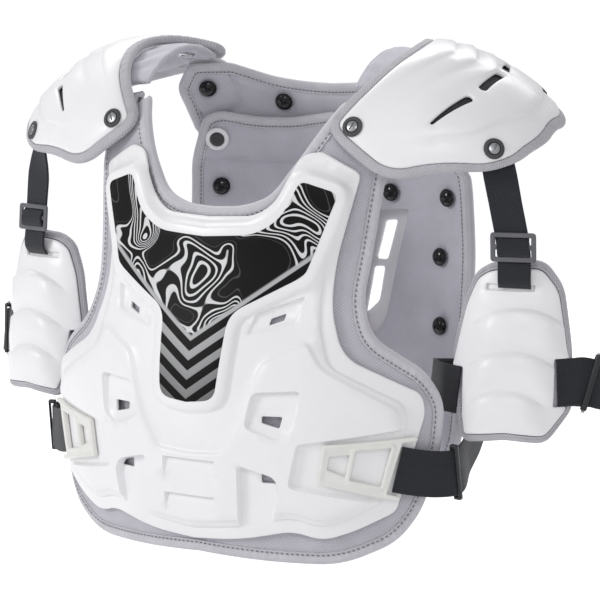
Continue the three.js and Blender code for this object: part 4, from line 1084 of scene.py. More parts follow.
def stitch_row(line, level, surface, pitch=stitch_pitch):
    """Small rounded stitches along a closed flat line, at one height."""
    ends = np.concatenate([[0], np.cumsum(np.linalg.norm(np.roll(line, -1, 0) - line, axis=1))])
    count = int(ends[-1] / pitch)
    at = (np.arange(count) + 0.5) * ends[-1] / count
    looped = np.concatenate([line, line[:1]])
    centre, ahead, behind = [
        np.stack([np.interp(at + shift, ends, looped[:, k]) for k in (0, 1)], -1)
        for shift in (0, 0.6, -0.6)
    ]
    heights = np.full(count, float(level))
    middle = surface(centre[:, 0], centre[:, 1], heights)
    along = surface(ahead[:, 0], ahead[:, 1], heights) - surface(behind[:, 0], behind[:, 1], heights)
    up = surface(centre[:, 0], centre[:, 1], heights + 0.5) - middle
    along /= np.maximum(np.linalg.norm(along, axis=1, keepdims=True), 1e-6)
    up /= np.linalg.norm(up, axis=1, keepdims=True)
    across = np.cross(up, along)
    sides = stitch_sides
    verts = []
    for x, r in stitch_form:
        for k in range(sides):
            a = 2 * math.pi * k / sides
            verts.append(
                middle
                + along * (x * stitch_long / 2)
                + across * (r * stitch_thick / 2 * math.cos(a))
                + up * (r * stitch_thick * 0.35 * math.sin(a))
            )
    verts = np.stack(verts, 1)
    rings = len(stitch_form)
    faces = []
    for j in range(rings - 1):
        for k in range(sides):
            a = j * sides + k
            b = j * sides + (k + 1) % sides
            faces += [(a, b, b + sides), (a, b + sides, a + sides)]
    for k in range(1, sides - 1):
        faces.append((0, k + 1, k))
        last = (rings - 1) * sides
        faces.append((last, last + k, last + k + 1))
    faces = np.array(faces)
    every = (faces[None] + (np.arange(count) * rings * sides)[:, None, None]).reshape(-1, 3)
    return verts.reshape(-1, 3), every


def thread_piece(name, parts):
    starts = np.cumsum([0] + [len(verts) for verts, _ in parts])
    verts = np.concatenate([verts for verts, _ in parts])
    faces = np.concatenate([faces + start for (_, faces), start in zip(parts, starts)])
    mesh_object(name, verts, faces, thread_painted_dark, sharp=180)


print("100 mm of edge has", int(100 / stitch_pitch), "stitches")

# %% [markdown]
# The padded middle of a liner is a plate with soft hills. Then Blender's Cloth blows it up under
# pressure, without weight, between the edges, rivets and seams that are held. The filled form
# comes out of the mesh itself, so no lamp has to fake it.

# %% Padded bodies
pad_pressure = 12.0
cloth_frames = 20


def pad_body(ring, openings, creases=(), dents=None):
    """The middle of a liner; dents raise its face on the wearer's side."""
    def top(flat):
        return liner_high + 0.25 * soft_noise(flat, 45, 3) - 0.3

    def bottom(flat):
        rise = dents(flat) if dents else 0
        return liner_low + 0.3 - 0.35 * soft_noise(flat, 60, 5) + rise

    return plate(ring, openings, list(creases), top, bottom, edge=2.0, hole_edge=2.0)


def swell(piece, held, most):
    """Blows a padded piece up; held points stay, and others move `most` mm at most."""
    group = piece.vertex_groups.new(name="held")
    group.add(np.flatnonzero(held).tolist(), 1.0, "REPLACE")
    cloth = piece.modifiers.new("swell", "CLOTH")
    cloth.settings.quality = 4
    cloth.settings.mass = 0.15
    cloth.settings.bending_stiffness = 0.2
    cloth.settings.use_pressure = True
    cloth.settings.uniform_pressure_force = pad_pressure
    cloth.settings.vertex_group_mass = "held"
    cloth.settings.effector_weights.gravity = 0
    rest = np.array([v.co[:] for v in piece.data.vertices])
    for step in range(1, cloth_frames + 1):
        bpy.context.scene.frame_set(step)
    shape = piece.evaluated_get(bpy.context.evaluated_depsgraph_get()).data
    moved = np.array([v.co[:] for v in shape.vertices]) - rest
    length = np.linalg.norm(moved, axis=1, keepdims=True)
    moved *= np.minimum(1, most * mm / np.maximum(length, 1e-9))
    piece.modifiers.remove(cloth)
    piece.vertex_groups.remove(group)
    piece.data.vertices.foreach_set("co", (rest + moved).ravel())
    piece.data.update()
    bpy.context.scene.frame_set(1)
    print(piece.name, "swelled by up to", round(float(length.max()) / mm, 2), "mm before the cap")


print("simulation runs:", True)

# %% [markdown]
# The chest liner stands out from under the plate all round, so its bound edge is what shows. It
# also fills the windows of the vents with grey mesh.

# %% Chest liner
liner_ring = whole_ring(
    table(
        (0, 0.286, 0), (0.13, 0.283, 0.06), (0.245, 0.262, 0.06), (0.36, 0.18, 0.06),
        (0.47, 0.082, 0.04), (0.51, 0.068, 0.02), (0.66, 0.078, 0.03), (0.71, 0.2, 0.06),
        (0.675, 0.36, 0.08), (0.655, 0.46, 0.1), (0.71, 0.53, 0.08), (0.95, 0.6, 0.08),
        (1.035, 0.66, 0.08), (1.02, 0.75, 0.05), (0.94, 0.875, 0.08), (0.83, 0.94, 0.12),
        (0.6, 0.985, 0.1), (0.3, 0.982, 0.1), (0, 0.975, 0),
    ),
    half_chest,
)
chest_pad = pad_body(shifted(liner_ring, binding_width - hem_overlap), [])
piece = show("chest_liner_mesh", chest_pad, chest_surface, spacer_mesh, ["chest_liner"])
pad_places, pad_heights = chest_pad[:2]
pad_held = (inside(pad_places, liner_ring) < binding_width + 4) | (pad_heights > liner_high - 2)
swell(piece, pad_held, most=1.6)
chest_tape = binding(liner_ring, liner_high + 0.6, liner_low - 0.3, 1.3, pucker=0.5)
show("chest_edge_tape", chest_tape, chest_surface, binding_tape, ["chest_binding"])
stitch_line = shifted(liner_ring, stitch_inset)
thread_piece(
    "chest_edge_stitches",
    [
        stitch_row(stitch_line, liner_high + 0.6, chest_surface),
        stitch_row(stitch_line, liner_low - 0.3, chest_surface),
    ],
)

# %% [markdown]
# The back plate is the same moulding as the chest plate: a rim, a raised body and a spine rib,
# with slots that let air through. Only its slots and inner face show from the front.

# %% Back plate
back_ring = whole_ring(
    table(
        (0, 0.1, 0), (0.3, 0.095, 0.08), (0.52, 0.06, 0.08), (0.66, 0.0095, 0.04),
        (0.87, 0.0175, 0.04), (0.93, 0.1, 0.06), (0.9, 0.25, 0.1), (0.94, 0.42, 0.1),
        (0.92, 0.64, 0.1), (0.91, 0.8, 0.08), (0.82, 0.87, 0.08), (0.6, 0.91, 0.1), (0, 0.925, 0),
    ),
    half_back,
)
back_field = whole_ring(
    table(
        (0, 0.14, 0), (0.5, 0.11, 0.06), (0.72, 0.07, 0.04), (0.8, 0.1, 0.04), (0.78, 0.3, 0.1),
        (0.83, 0.45, 0.1), (0.8, 0.78, 0.08), (0.5, 0.86, 0.08), (0, 0.88, 0),
    ),
    half_back,
)
spine = whole_ring(
    table((0, 0.19, 0), (0.12, 0.2, 0.02), (0.08, 0.5, 0.04), (0.14, 0.8, 0.04), (0, 0.82, 0)), half_back
)
slot_tables = [
    table((0.226, 0.368, 0.02), (0.312, 0.364, 0.02), (0.239, 0.455, 0.02), (0.162, 0.455, 0.02)),
    table((0.147, 0.473, 0.02), (0.223, 0.47, 0.02), (0.189, 0.548, 0.02), (0.105, 0.577, 0.02)),
]
slot_rings = both_sides([side_ring(rows, half_back, 2) for rows in slot_tables])
flute_ring = side_ring(
    table(
        (0.4, 0.2, 0.1), (0.62, 0.2, 0.1), (0.68, 0.45, 0.2), (0.6, 0.76, 0.1), (0.4, 0.78, 0.1),
        (0.42, 0.45, 0.2),
    ),
    half_back,
)


def back_level(flat):
    level = rim_level + (body_level - rim_level) * smooth(inside(flat, back_field) / 6)
    level = level + (belly_level - body_level) * smooth(inside(flat, spine) / 4)
    side = folded(flat)
    level = level + 2.2 * smooth(inside(side, flute_ring) / 6)
    for ring in slot_rings[:2]:
        level = level - 1.5 * smooth((5 + inside(side, ring)) / 3)
    return level


back_creases = crease_lines(back_field, 0, 2, 4, 6) + crease_lines(spine, 0, 2, 4)
back_creases += both_sides(crease_lines(flute_ring, 0, 3, 6))
back_creases += [shifted(ring, d) for ring in slot_rings for d in (-2, -5)]
back_plate = plate(
    back_ring, slot_rings, back_creases, back_level, lambda flat: back_level(flat) - shell_wall, edge=1.3
)
show(
    "back_plate",
    back_plate,
    back_surface,
    white_polypropylene,
    ["back_shell"],
    turned=True,
)

# %% [markdown]
# Two padded liners hang inside the back plate on rivets. The lower one overlaps the upper one
# and has two slanted openings in line with the slots.

# %% Back liner outlines
Rivet = namedtuple("Rivet", "name panel across down")
rivets = [
    Rivet("top_outer", "upper", 0.79, 0.078), Rivet("top_inner", "upper", 0.333, 0.106),
    Rivet("ringed", "lower", 0.79, 0.19), Rivet("chest_outer", "lower", 0.805, 0.3),
    Rivet("chest_inner", "lower", 0.333, 0.3), Rivet("side_high", "lower", 0.735, 0.43),
    Rivet("side_low", "lower", 0.755, 0.578),
]
upper_ring = whole_ring(
    table(
        (0, 0.063, 0), (0.18, 0.06, 0.08), (0.36, 0.05, 0.08), (0.52, 0.03, 0.08),
        (0.6, 0.02, 0.03), (0.86, 0.022, 0.05), (0.985, 0.08, 0.06), (0.92, 0.18, 0.04),
        (0.6, 0.19, 0.06), (0, 0.18, 0),
    ),
    half_back,
)
lower_ring = whole_ring(
    table(
        (0, 0.125, 0), (0.27, 0.14, 0.08), (0.52, 0.14, 0.08), (0.75, 0.126, 0.06),
        (0.86, 0.14, 0.06), (0.98, 0.24, 0.1), (1.01, 0.42, 0.1), (0.985, 0.64, 0.1),
        (0.97, 0.81, 0.08), (0.9, 0.875, 0.08), (0.7, 0.93, 0.1), (0, 0.95, 0),
    ),
    half_back,
)
vent = side_ring(
    table(
        (0.16, 0.345, 0.05), (0.455, 0.335, 0.03), (0.37, 0.44, 0.06), (0.29, 0.58, 0.05),
        (0.2, 0.625, 0.05), (0.06, 0.6, 0.05),
    ),
    half_back,
)
vents = both_sides([vent])


def rivet_place(rivet):
    return np.array([rivet.across * half_back, -rivet.down * torso_height])


print(len(rivets), "rivets on each half")

# %% [markdown]
# Each rivet pulls a dimple into the foam. A sewn channel runs along the top of the lower panel,
# and on the upper one it goes round the outer rivet in a circle.

# %% Dimples and channels
dimple_depth = 2.6
dimple_radius = 11
seam_down = 0.247
seam_rise = 0.03
seam_depth = 2.8
seam_width = 1.3
tab_radius = 27
tab = rivet_place(rivets[0])


def rivet_dents(panel, flat):
    pull = np.zeros(len(flat))
    for rivet in rivets:
        if rivet.panel == panel:
            u, z = rivet_place(rivet)
            gap = np.hypot(np.abs(flat[:, 0]) - u, flat[:, 1] - z)
            pull = np.maximum(pull, np.exp(-((gap / dimple_radius) ** 2)))
    return dimple_depth * pull


def seam_distance(panel, flat):
    """How far each place is from the panel's sewn channel."""
    if panel == "lower":
        return np.abs(flat[:, 1] + seam_down * torso_height - seam_rise * np.abs(flat[:, 0]))
    return np.abs(np.linalg.norm(folded(flat) - tab, axis=1) - tab_radius)


def seam_lines(panel):
    lines = []
    for offset in (-2, -0.9, 0.9, 2):
        if panel == "lower":
            u = np.arange(8, half_back, 3.0)
            lines.append(np.stack([u, seam_rise * u - seam_down * torso_height + offset], -1))
        else:
            lines.append(circle(tab, tab_radius + offset, 56))
    return lines


print("deepest dimple:", rivet_dents("upper", np.array([tab])), "mm")

# %% [markdown]
# Both panels are made alike: the swollen body, its bound edge and the stitches in that edge.
# Rivets, channels, openings and the part that lies behind the other panel are held.

# %% Back liners
for name, ring, surface, openings in (
    ("upper", upper_ring, back_surface, []),
    ("lower", lower_ring, lower_back_surface, vents),
):
    pad_ring = shifted(ring, binding_width - hem_overlap)
    own = [rivet for rivet in rivets if rivet.panel == name]
    lines = [circle(rivet_place(rivet), radius, 20) for rivet in own for radius in (5, 10, 16)]
    lines += seam_lines(name)
    lines = both_sides([line[inside(line, pad_ring) > 2] for line in lines])
    lines = [line for line in lines if len(line) > 6]

    def dents(flat):
        channel = np.exp(-((seam_distance(name, flat) / seam_width) ** 2))
        return rivet_dents(name, flat) + seam_depth * channel

    body = pad_body(pad_ring, openings, lines, dents)
    piece = show(
        f"back_liner_{name}_cloth",
        body,
        surface,
        lining_twill,
        [f"back_liner_{name}"],
        turned=True,
    )
    places, heights = body[:2]
    held = (inside(places, pad_ring) < 5) | (heights > liner_low + 4)
    held |= (seam_distance(name, places) < 2.5) | (rivet_dents(name, places) > 1.0)
    for opening in openings:
        held |= inside(places, opening) > -5
    if name == "upper":
        held |= places[:, 1] < -0.115 * torso_height
    swell(piece, held, most=3.5)
    tape = binding(ring, liner_high + 0.3, liner_low - 0.4, 2.1 if name == "upper" else 3.7)
    show(
        f"back_edge_tape_{name}",
        tape,
        surface,
        binding_tape,
        [f"back_binding_{name}"],
        turned=True,
    )
    row = stitch_row(shifted(ring, stitch_inset), liner_low - 0.4, surface, pitch=3.6)
    thread_piece(f"back_edge_stitches_{name}", [row])

# %% [markdown]
# Rivets, screws and washers are turned parts: a half profile spun round its axis. Each stands on
# its surface, so its own axes are found from the surface beside it. A rivet is a polished dome,
# and a screw is a slotted head in a soft washer that the light picks out as a dark ring.

# %% Small turned parts
Frame = namedtuple("Frame", "at x y z")


def stand(surface, u, z, h, facing=1):
    """The place and axes of a small part on a surface."""
    at = surface(np.array([u, u + 1.0, u]), np.array([z, z, z + 1.0]), np.array([h, h, h]))
    x = at[1] - at[0]
    x /= np.linalg.norm(x)
    out = np.cross(x, at[2] - at[0])
    raised = surface(np.array([u]), np.array([z]), np.array([h + 1.0]))[0] - at[0]
    out *= facing * np.sign(np.dot(out, raised)) / np.linalg.norm(out)
    return Frame(at[0], x, np.cross(out, x), out)


def placed(points, frame_at):
    points = np.asarray(points, float)
    return frame_at.at + points @ np.stack([frame_at.x, frame_at.y, frame_at.z])


def turned_part(half_profile, sides=36):
    """A closed lathe: the profile runs from the axis out and back to the axis."""
    rows = np.array(half_profile, float)
    turn = np.arange(sides) * 2 * math.pi / sides
    verts = [(0, 0, rows[0, 1])]
    for out, up in rows[1:-1]:
        verts += [(out * math.cos(a), out * math.sin(a), up) for a in turn]
    verts.append((0, 0, rows[-1, 1]))
    faces = []
    for k in range(sides):
        faces.append((0, 1 + (k + 1) % sides, 1 + k))
    for j in range(len(rows) - 3):
        a = 1 + j * sides
        for k in range(sides):
            p = a + k
            q = a + (k + 1) % sides
            faces += [(p, q, q + sides), (p, q + sides, p + sides)]
    last = 1 + (len(rows) - 3) * sides
    for k in range(sides):
        faces.append((last + k, last + (k + 1) % sides, len(verts) - 1))
    return np.array(verts), np.array(faces)


def stand_pair(name, part, frame_at, material, nodes=(), sharp=40):
    object_pair(name, placed(part[0], frame_at), part[1], material, nodes, sharp=sharp)


print("seat of the top rivet:", stand(back_surface, *tab, liner_low, -1).at.round(1))

# %% [markdown]
# Most rivets are plain polished domes. The ringed one is flat and of soft rubber in a white
# plastic washer.

# %% Rivets
rivet_radius = 8
rivet_height = 5
rivet_start = 0.5
rivet_sunk = 0.5
dome_curve = [
    (rivet_radius * math.cos(a), rivet_start + rivet_height * math.sin(a))
    for a in np.linspace(0, math.pi / 2, 9)
]
dome = turned_part([(0, 0), (rivet_radius * 0.97, 0)] + dome_curve)
ringed_dome = turned_part(
    [(0, 0), (5.8, 0), (6.2, 0.8), (6, 2.6), (5.2, 3.1), (3.4, 3.1), (2.9, 2.5), (0, 2.5)]
)
white_ring = turned_part(
    [
        (0, 0), (10.2, 0), (10.5, 0.6), (10.1, 2), (9.2, 2.6), (7.4, 2.6), (6.7, 2.2), (6.4, 1.2),
        (6.4, 0.2), (0, 0.2),
    ]
)
for row in rivets:
    surface = back_surface if row.panel == "upper" else lower_back_surface
    ringed = row.name == "ringed"
    seat = stand(surface, *rivet_place(row), liner_low - rivet_sunk, -1)
    stand_pair(
        f"back_rivet_{row.name}_dome",
        ringed_dome if ringed else dome,
        seat,
        black_rubber if ringed else black_nylon,
        [f"back_rivet_{row.name}"],
    )
    if ringed:
        stand_pair(
            "back_rivet_washer", white_ring, seat, white_polypropylene, ["back_rivet_ring"]
        )

# %% [markdown]
# The shoulder caps are moulded over an arch. Three terraces run from front to back across the top,
# each rising to a soft edge and dropping behind it, and a broad step follows the outer border.
# Three tapered slots cut through along the outer terrace.

# %% Shoulder caps
cap_wall = 2.8
cap_gap = 1.6
cap_pad_thick = 4
cap_pad_edge = 9
Along = namedtuple("Along", "out along round")


def cap_ring_of(rows):
    rows = [Along(*row) for row in rows]
    return ring_of([(r.out * cap_span, r.along * cap_arch, r.round * cap_span) for r in rows])


cap_ring = cap_ring_of(
    [
        (0.0, -0.89, 0.04), (0.05, -0.97, 0.04), (0.29, -1.22, 0.1), (0.5, -1.13, 0.1),
        (0.75, -1.1, 0.06), (0.86, -0.97, 0.08), (0.97, -0.55, 0.14), (0.985, 0.38, 0.14),
        (0.84, 0.85, 0.12), (0.5, 0.95, 0.14), (0.2, 0.93, 0.14), (0.0, 0.75, 0.06),
        (0.12, 0.56, 0.08), (0.23, 0.25, 0.12), (0.24, -0.1, 0.12), (0.16, -0.5, 0.12),
    ]
)
cap_step_ring = cap_ring_of(
    [
        (-0.2, -0.7, 0.05), (0.1, -0.93, 0.1), (0.394, -0.985, 0.1), (0.66, -0.86, 0.1),
        (0.885, -0.36, 0.1), (0.89, 0.2, 0.1), (0.78, 0.62, 0.1), (0.5, 0.76, 0.1),
        (-0.2, 0.7, 0.05),
    ]
)
Slot = namedtuple("Slot", "from_out from_along from_width to_out to_along to_width")
cap_slots = [
    Slot(0.455, -0.82, 0.016, 0.6, -0.47, 0.042), Slot(0.625, -0.34, 0.042, 0.655, 0.04, 0.042),
    Slot(0.65, 0.15, 0.042, 0.56, 0.6, 0.02),
]
Terrace = namedtuple("Terrace", "crest end width drop")
terraces = [Terrace(64, 32, 26, 2.5), Terrace(83, 50, 19, 2.3), Terrace(101, 74, 17, 1.2)]


def slot_ring(slot):
    """A tapered slot: a half circle round each end."""
    start = np.array([slot.from_out * cap_span, slot.from_along * cap_arch])
    end = np.array([slot.to_out * cap_span, slot.to_along * cap_arch])
    heading = math.atan2(*(end - start)[::-1])
    line = []
    for centre, width, facing in ((start, slot.from_width, math.pi), (end, slot.to_width, 0)):
        radius = width * cap_span / 2
        centre = centre - radius * np.array([math.cos(heading + facing), math.sin(heading + facing)])
        for turn in np.linspace(-math.pi / 2, math.pi / 2, 9):
            a = heading + facing + turn
            line.append(centre + radius * np.array([math.cos(a), math.sin(a)]))
    return ring_of([(x, y, 0) for x, y in line], 1.6)


cap_slot_rings = [slot_ring(slot) for slot in cap_slots]
print("slots are", [len(ring) for ring in cap_slot_rings], "points round")

# %% [markdown]
# The terraces sink and end towards the front and the back of the cap, and the plastic thins a
# little at its outer edge and round the slots.

# %% Shoulder cap plates
def terrace_line(terrace, t):
    return terrace.crest - (terrace.crest - terrace.end) * (np.abs(t) / 62) ** 1.4


def cap_level(flat):
    s = flat[:, 0]
    t = flat[:, 1]
    level = 2.2 * smooth(inside(flat, cap_step_ring) / 3.5) * smooth((s - 38) / 40)
    lasting = smooth((t + 84) / 60) * smooth((84 - t) / 60)
    for terrace in terraces:
        beyond = s - terrace_line(terrace, t)
        rise = smooth((beyond + terrace.width) / terrace.width) * (1 - smooth(beyond / 5))
        level = level + terrace.drop * lasting * rise
    for ring in cap_slot_rings:
        level = level - 0.9 * smooth((3 + inside(flat, ring)) / 3)
    return level - 1.1 * (1 - smooth(inside(flat, cap_ring) / 5))


def terrace_lines():
    lines = []
    t = np.arange(-84, 85, 2.5)
    for terrace in terraces:
        for offset in (0, 2.5, 5):
            line = np.stack([terrace_line(terrace, t) + offset, t], -1)
            lines.append(line[(inside(line, cap_ring) > 2.5)])
    return lines


cap_creases = terrace_lines()
cap_creases += crease_lines(cap_step_ring, 0, 1.2, 2.4, 3.6) + crease_lines(cap_ring, 3, 5)
cap_creases += [shifted(ring, d) for ring in cap_slot_rings for d in (-1.5, -3)]
cap_creases = [line[inside(line, cap_ring) > 1.6] for line in cap_creases]
cap_plate = plate(
    cap_ring, cap_slot_rings, cap_creases, cap_level, lambda flat: cap_level(flat) - cap_wall, edge=1.4
)
show_pair(
    "shoulder_cap_plate", cap_plate, cap_surface, white_polypropylene, ["shoulder_cap"]
)

# %% [markdown]
# The pads under the caps and the guards are edged with a ribbed knitted tape that stands out
# round the plastic, with a narrow groove where the two meet.

# %% Edge tape
ribbed_tape = yarn_cloth("grey ribbed knitted tape", "#C4C3C8", "#A9A8AD", 0.95, 0.3, 35)
# A dark grey sheet behind the cap slots paints the shade seen through them.
slot_shade_sheet = yarn_cloth("dark sheet, painted shade behind slots", "#4A4A4F", "#3A3A3E", 1.6, 0.25, 10)


def edge_tape(ring, width, overlap, high, low, seed, nose=3.6, grooves=()):
    """A tape round a moulded edge; ring is the edge of the plastic, width how far it stands out."""
    outer = shifted(ring, -width)

    def top(flat):
        under = inside(flat, ring)
        depth, place = inside(flat, outer, along=True)
        level = high - 2.6 * smooth((under + 0.9) / 1.2) + 0.22 * ripple(place, 9, seed) * smooth(depth / 4)
        for groove in grooves:
            level = level - 0.8 * np.exp(-(((depth - groove) / 0.55) ** 2))
        return level

    def chart(flat):
        depth, place = inside(flat, outer, along=True)
        return np.stack([place, depth], -1)

    creases = [shifted(ring, d) for d in (0.7, 0.2, -0.3, -0.9)]
    creases += [shifted(outer, g + d) for g in grooves for d in (-0.6, 0, 0.6)]
    hole = [shifted(ring, overlap)]
    return plate(outer, hole, creases, top, even(low), spacing=5, edge=nose, hole_edge=0.5, uv=chart)


print("cap tape stands out", cap_pad_edge, "mm")

# %% [markdown]
# Under each cap lies a thin pad in mesh. Behind its slots lies a dark grey sheet that paints the
# shade seen through them.

# %% Cap pads
cap_pad_top = -cap_wall - cap_gap
cap_tape = edge_tape(cap_ring, cap_pad_edge, 5, -0.9, cap_pad_top - cap_pad_thick, 2.4)
show_pair("shoulder_cap_edge_tape", cap_tape, cap_surface, ribbed_tape)
cap_cloth = plate(
    shifted(cap_ring, 4),
    [],
    [],
    even(cap_pad_top - 0.6),
    lambda flat: cap_pad_top - cap_pad_thick + 0.5 * soft_noise(flat, 40, 9),
    spacing=8,
    edge=1.5,
)
cap_pads = show_pair(
    "shoulder_pad_cloth", cap_cloth, cap_surface, spacer_mesh, ["shoulder_pad"]
)
# The outline of the dark sheet that paints the shade behind the slots.
slot_shade_ring = cap_ring_of(
    [(0.36, -0.9, 0.05), (0.74, -0.5, 0.05), (0.78, 0.1, 0.05), (0.66, 0.7, 0.05), (0.4, 0.7, 0.05)]
)
slot_shade_plate = plate(slot_shade_ring, [], [], even(-cap_wall - 0.35), even(-cap_wall - 1.2), spacing=9, edge=0.4)
show_pair("shoulder_cap_slot_shade", slot_shade_plate, cap_surface, slot_shade_sheet)

# %% [markdown]
# Four screws hold each cap. Their heads are slightly domed, with a slot 1.2 mm wide, and each
# slot points its own way, as it does when screws are tightened by hand.

# %% Cap screws
washer = turned_part(
    [(0, 0), (8.0, 0), (8.3, 0.5), (8.15, 1.2), (7.4, 1.75), (5.6, 1.75), (5.1, 1.3), (4.9, 0.6), (0, 0.6)]
)
head_radius = 4.5
head_ring = circle((0, 0), head_radius, 48)
groove = box_ring(-3.6, 3.6, -0.6, 0.6, 0, 0.8)


def head_level(flat):
    dish = 1.9 + 0.5 * (1 - (flat[:, 0] ** 2 + flat[:, 1] ** 2) / head_radius**2)
    return dish - 1.1 * smooth(inside(flat, groove) / 0.25)


head = plate(head_ring, [], [groove, shifted(groove, 0.25)], head_level, even(0.7), spacing=1.5, edge=0.5)
Screw = namedtuple("Screw", "name out along turn")
cap_screws = [
    Screw("inner_front", 0.085, -0.91, 60), Screw("outer_front", 0.765, -0.93, 75),
    Screw("inner_back", 0.085, 0.79, 20), Screw("outer_back", 0.72, 0.76, 130),
]
for row in cap_screws:
    u = row.out * cap_span
    t = row.along * cap_arch
    level = float(cap_level(np.array([[u, t]]))[0])
    seat = stand(cap_surface, u, t, level + 0.05)
    stand_pair(
        f"cap_screw_{row.name}_washer",
        washer,
        seat,
        black_rubber,
        [f"cap_screw_{row.name}"],
    )
    turn = math.radians(row.turn)
    flat, heights, faces, _ = head
    local = np.stack(
        [
            flat[:, 0] * math.cos(turn) - flat[:, 1] * math.sin(turn),
            flat[:, 0] * math.sin(turn) + flat[:, 1] * math.cos(turn),
            heights,
        ],
        -1,
    )
    stand_pair(f"cap_screw_{row.name}_head", (local, faces), seat, zinc_steel, sharp=30)

# %% [markdown]
# The guard on each upper arm has three overlapping scales: each one rises sharply under an
# arched line and sinks again towards the next, so every arch shows a soft shadow over a bright
# lip. Two notches in its sides let the arm band through, and a slot at its top the webbing.

# %% Arm guard outlines
guard_wall = 2.6
guard_ridge = 5.2
guard_pad_thick = 8
guard_pad_edge = 8
guard_gap = 1.1
elastic_width = 37.5
elastic_thick = 1.8
outer_up = -0.17
inner_up = -0.242
notch_half = (elastic_width / 2 - 0.2) / guard_height
guard_rows = [
    (-0.42, 0.48, 0.14), (0.36, 0.5, 0.14), (0.66, 0.37, 0.16), (0.88, 0.02, 0.2),
    (0.93, outer_up + notch_half, 0.02), (0.68, outer_up + notch_half, 0.03),
    (0.72, outer_up - notch_half, 0.03), (0.98, outer_up - notch_half, 0.1), (0.62, -0.48, 0.1),
    (0.0, -0.46, 0.1), (-0.66, -0.49, 0.06), (-0.74, inner_up - notch_half, 0.03),
    (-0.8, inner_up + notch_half, 0.03), (-1.02, inner_up + notch_half, 0.021),
    (-0.82, 0.27, 0.16), (-0.64, 0.43, 0.1),
]


def guard_ring_of(rows):
    return ring_of([(o * guard_half, up * guard_height, r * guard_half) for o, up, r in rows])


guard_ring = guard_ring_of(guard_rows)
lining_rows = [row for row in guard_rows if row[2] > 0.03 or row[:2] == (-1.02, inner_up + notch_half)]
lining_ring = guard_ring_of(lining_rows)
guard_slot_half = 0.38 * guard_half
guard_slot_centre = -0.096 * guard_half
guard_slot_up = 0.385 * guard_height
guard_slot_high = 0.036 * guard_height
guard_slot = box_ring(
    guard_slot_centre - guard_slot_half,
    guard_slot_centre + guard_slot_half,
    guard_slot_up - guard_slot_high / 2,
    guard_slot_up + guard_slot_high / 2,
    0.8,
    1.5,
)
print("guard outline:", len(guard_ring), "points, lining outline:", len(lining_ring), "points")

# %% [markdown]
# Each scale is an arch over the guard. Its height fades out at the sides, so the arches end in
# the smooth border.

# %% Arm guard plates
Arch = namedtuple("Arch", "peak middle droop reach")
arches = [Arch(0.27, 4, 0.0105, 40), Arch(0.015, 1, 0.0105, 40), Arch(-0.215, -2, 0.0125, 32)]
arch_fall = 17


def arch_line(arch, s):
    return arch.peak * guard_height - arch.droop * (s - arch.middle) ** 2


def guard_level(flat):
    s = flat[:, 0]
    t = flat[:, 1]
    level = guard_wall - 0.7 * (1 - smooth(inside(flat, guard_ring) / 6))
    for k, arch in enumerate(arches):
        below = arch_line(arch, s) - t
        fade = 1 - smooth((np.abs(s - arch.middle) - 0.45 * arch.reach) / (0.6 * arch.reach))
        ending = arch_line(arches[k + 1], s) - t if k + 1 < len(arches) else below - 28
        sinking = 1 - 0.95 * smooth((ending + arch_fall) / arch_fall)
        level = level + guard_ridge * fade * smooth(below / 2) * sinking
    return level


guard_creases = []
for arch in arches:
    s = np.arange(arch.middle - arch.reach, arch.middle + arch.reach, 2.4)
    for offset in (-10, -6, -3, -2, -1, 0, 1.2, 3):
        line = np.stack([s, arch_line(arch, s) - offset], -1)
        guard_creases.append(line[inside(line, guard_ring) > 2])
guard_creases += crease_lines(guard_ring, 3, 6)
guard_plate = plate(
    guard_ring,
    [guard_slot],
    guard_creases,
    guard_level,
    lambda flat: guard_level(flat) - guard_wall,
    spacing=6,
    edge=1.3,
)
show_pair(
    "arm_guard_plate", guard_plate, guard_surface, white_polypropylene, ["arm_guard"]
)
slot_lip = plate(shifted(guard_slot, -2), [], [], even(-0.2), even(-1.1), spacing=6, edge=0.3)
show_pair("arm_guard_slot_lip", slot_lip, guard_surface, white_polypropylene)

# %% [markdown]
# A padded lining stands out all round the guard. Its tape has one sewn groove along the middle.

# %% Arm pads
guard_pad_low = -guard_gap - guard_pad_thick
guard_tape = edge_tape(
    lining_ring, guard_pad_edge - 1.5, 6, 0.6, guard_pad_low + 0.6, 4.2, nose=3.4, grooves=(3.6,)
)
show_pair("arm_pad_edge_tape", guard_tape, guard_surface, ribbed_tape)
guard_cloth = plate(
    shifted(lining_ring, 5),
    [],
    [],
    even(-guard_gap - 0.4),
    lambda flat: guard_pad_low - 0.4 + 0.6 * soft_noise(flat, 38, 13),
    spacing=7,
    edge=2.5,
)
for piece in show_pair("arm_pad_cloth", guard_cloth, guard_surface, spacer_mesh, ["arm_pad"]):
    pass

# %% [markdown]
# Straps are swept: a flat section follows a smooth curve through a few knots, and the weave
# follows the strap because its chart is the place across and along. Webbing has a woven face
# with firm selvedges. Elastic is knitted, with cords that run along it.

# %% Curves and ribbons
curve_steps = 12


def curve(knots, extra=None):
    """A centripetal curve through the knots; extra rows are blended evenly along it."""
    knots = np.array(knots, float)
    ends = np.concatenate([[2 * knots[0] - knots[1]], knots, [2 * knots[-1] - knots[-2]]])
    points = []
    blended = []
    for i in range(len(knots) - 1):
        p = ends[i : i + 4]
        gap = np.sqrt(np.maximum(np.linalg.norm(np.diff(p, axis=0), axis=1), 1e-6))
        before, here, after = np.diff(p, axis=0) / gap[:, None]
        a = (before - (p[2] - p[0]) / (gap[0] + gap[1]) + here) * gap[1]
        b = (here - (p[3] - p[1]) / (gap[1] + gap[2]) + after) * gap[1]
        for t in np.arange(curve_steps) / curve_steps:
            points.append(
                (2 * t**3 - 3 * t**2 + 1) * p[1]
                + (t**3 - 2 * t**2 + t) * a
                + (3 * t**2 - 2 * t**3) * p[2]
                + (t**3 - t**2) * b
            )
            if extra is not None:
                k = smooth(t)
                blended.append((1 - k) * np.array(extra[i]) + k * np.array(extra[i + 1]))
    points.append(knots[-1])
    if extra is None:
        return np.array(points)
    blended.append(np.array(extra[-1]))
    return np.array(points), np.array(blended)


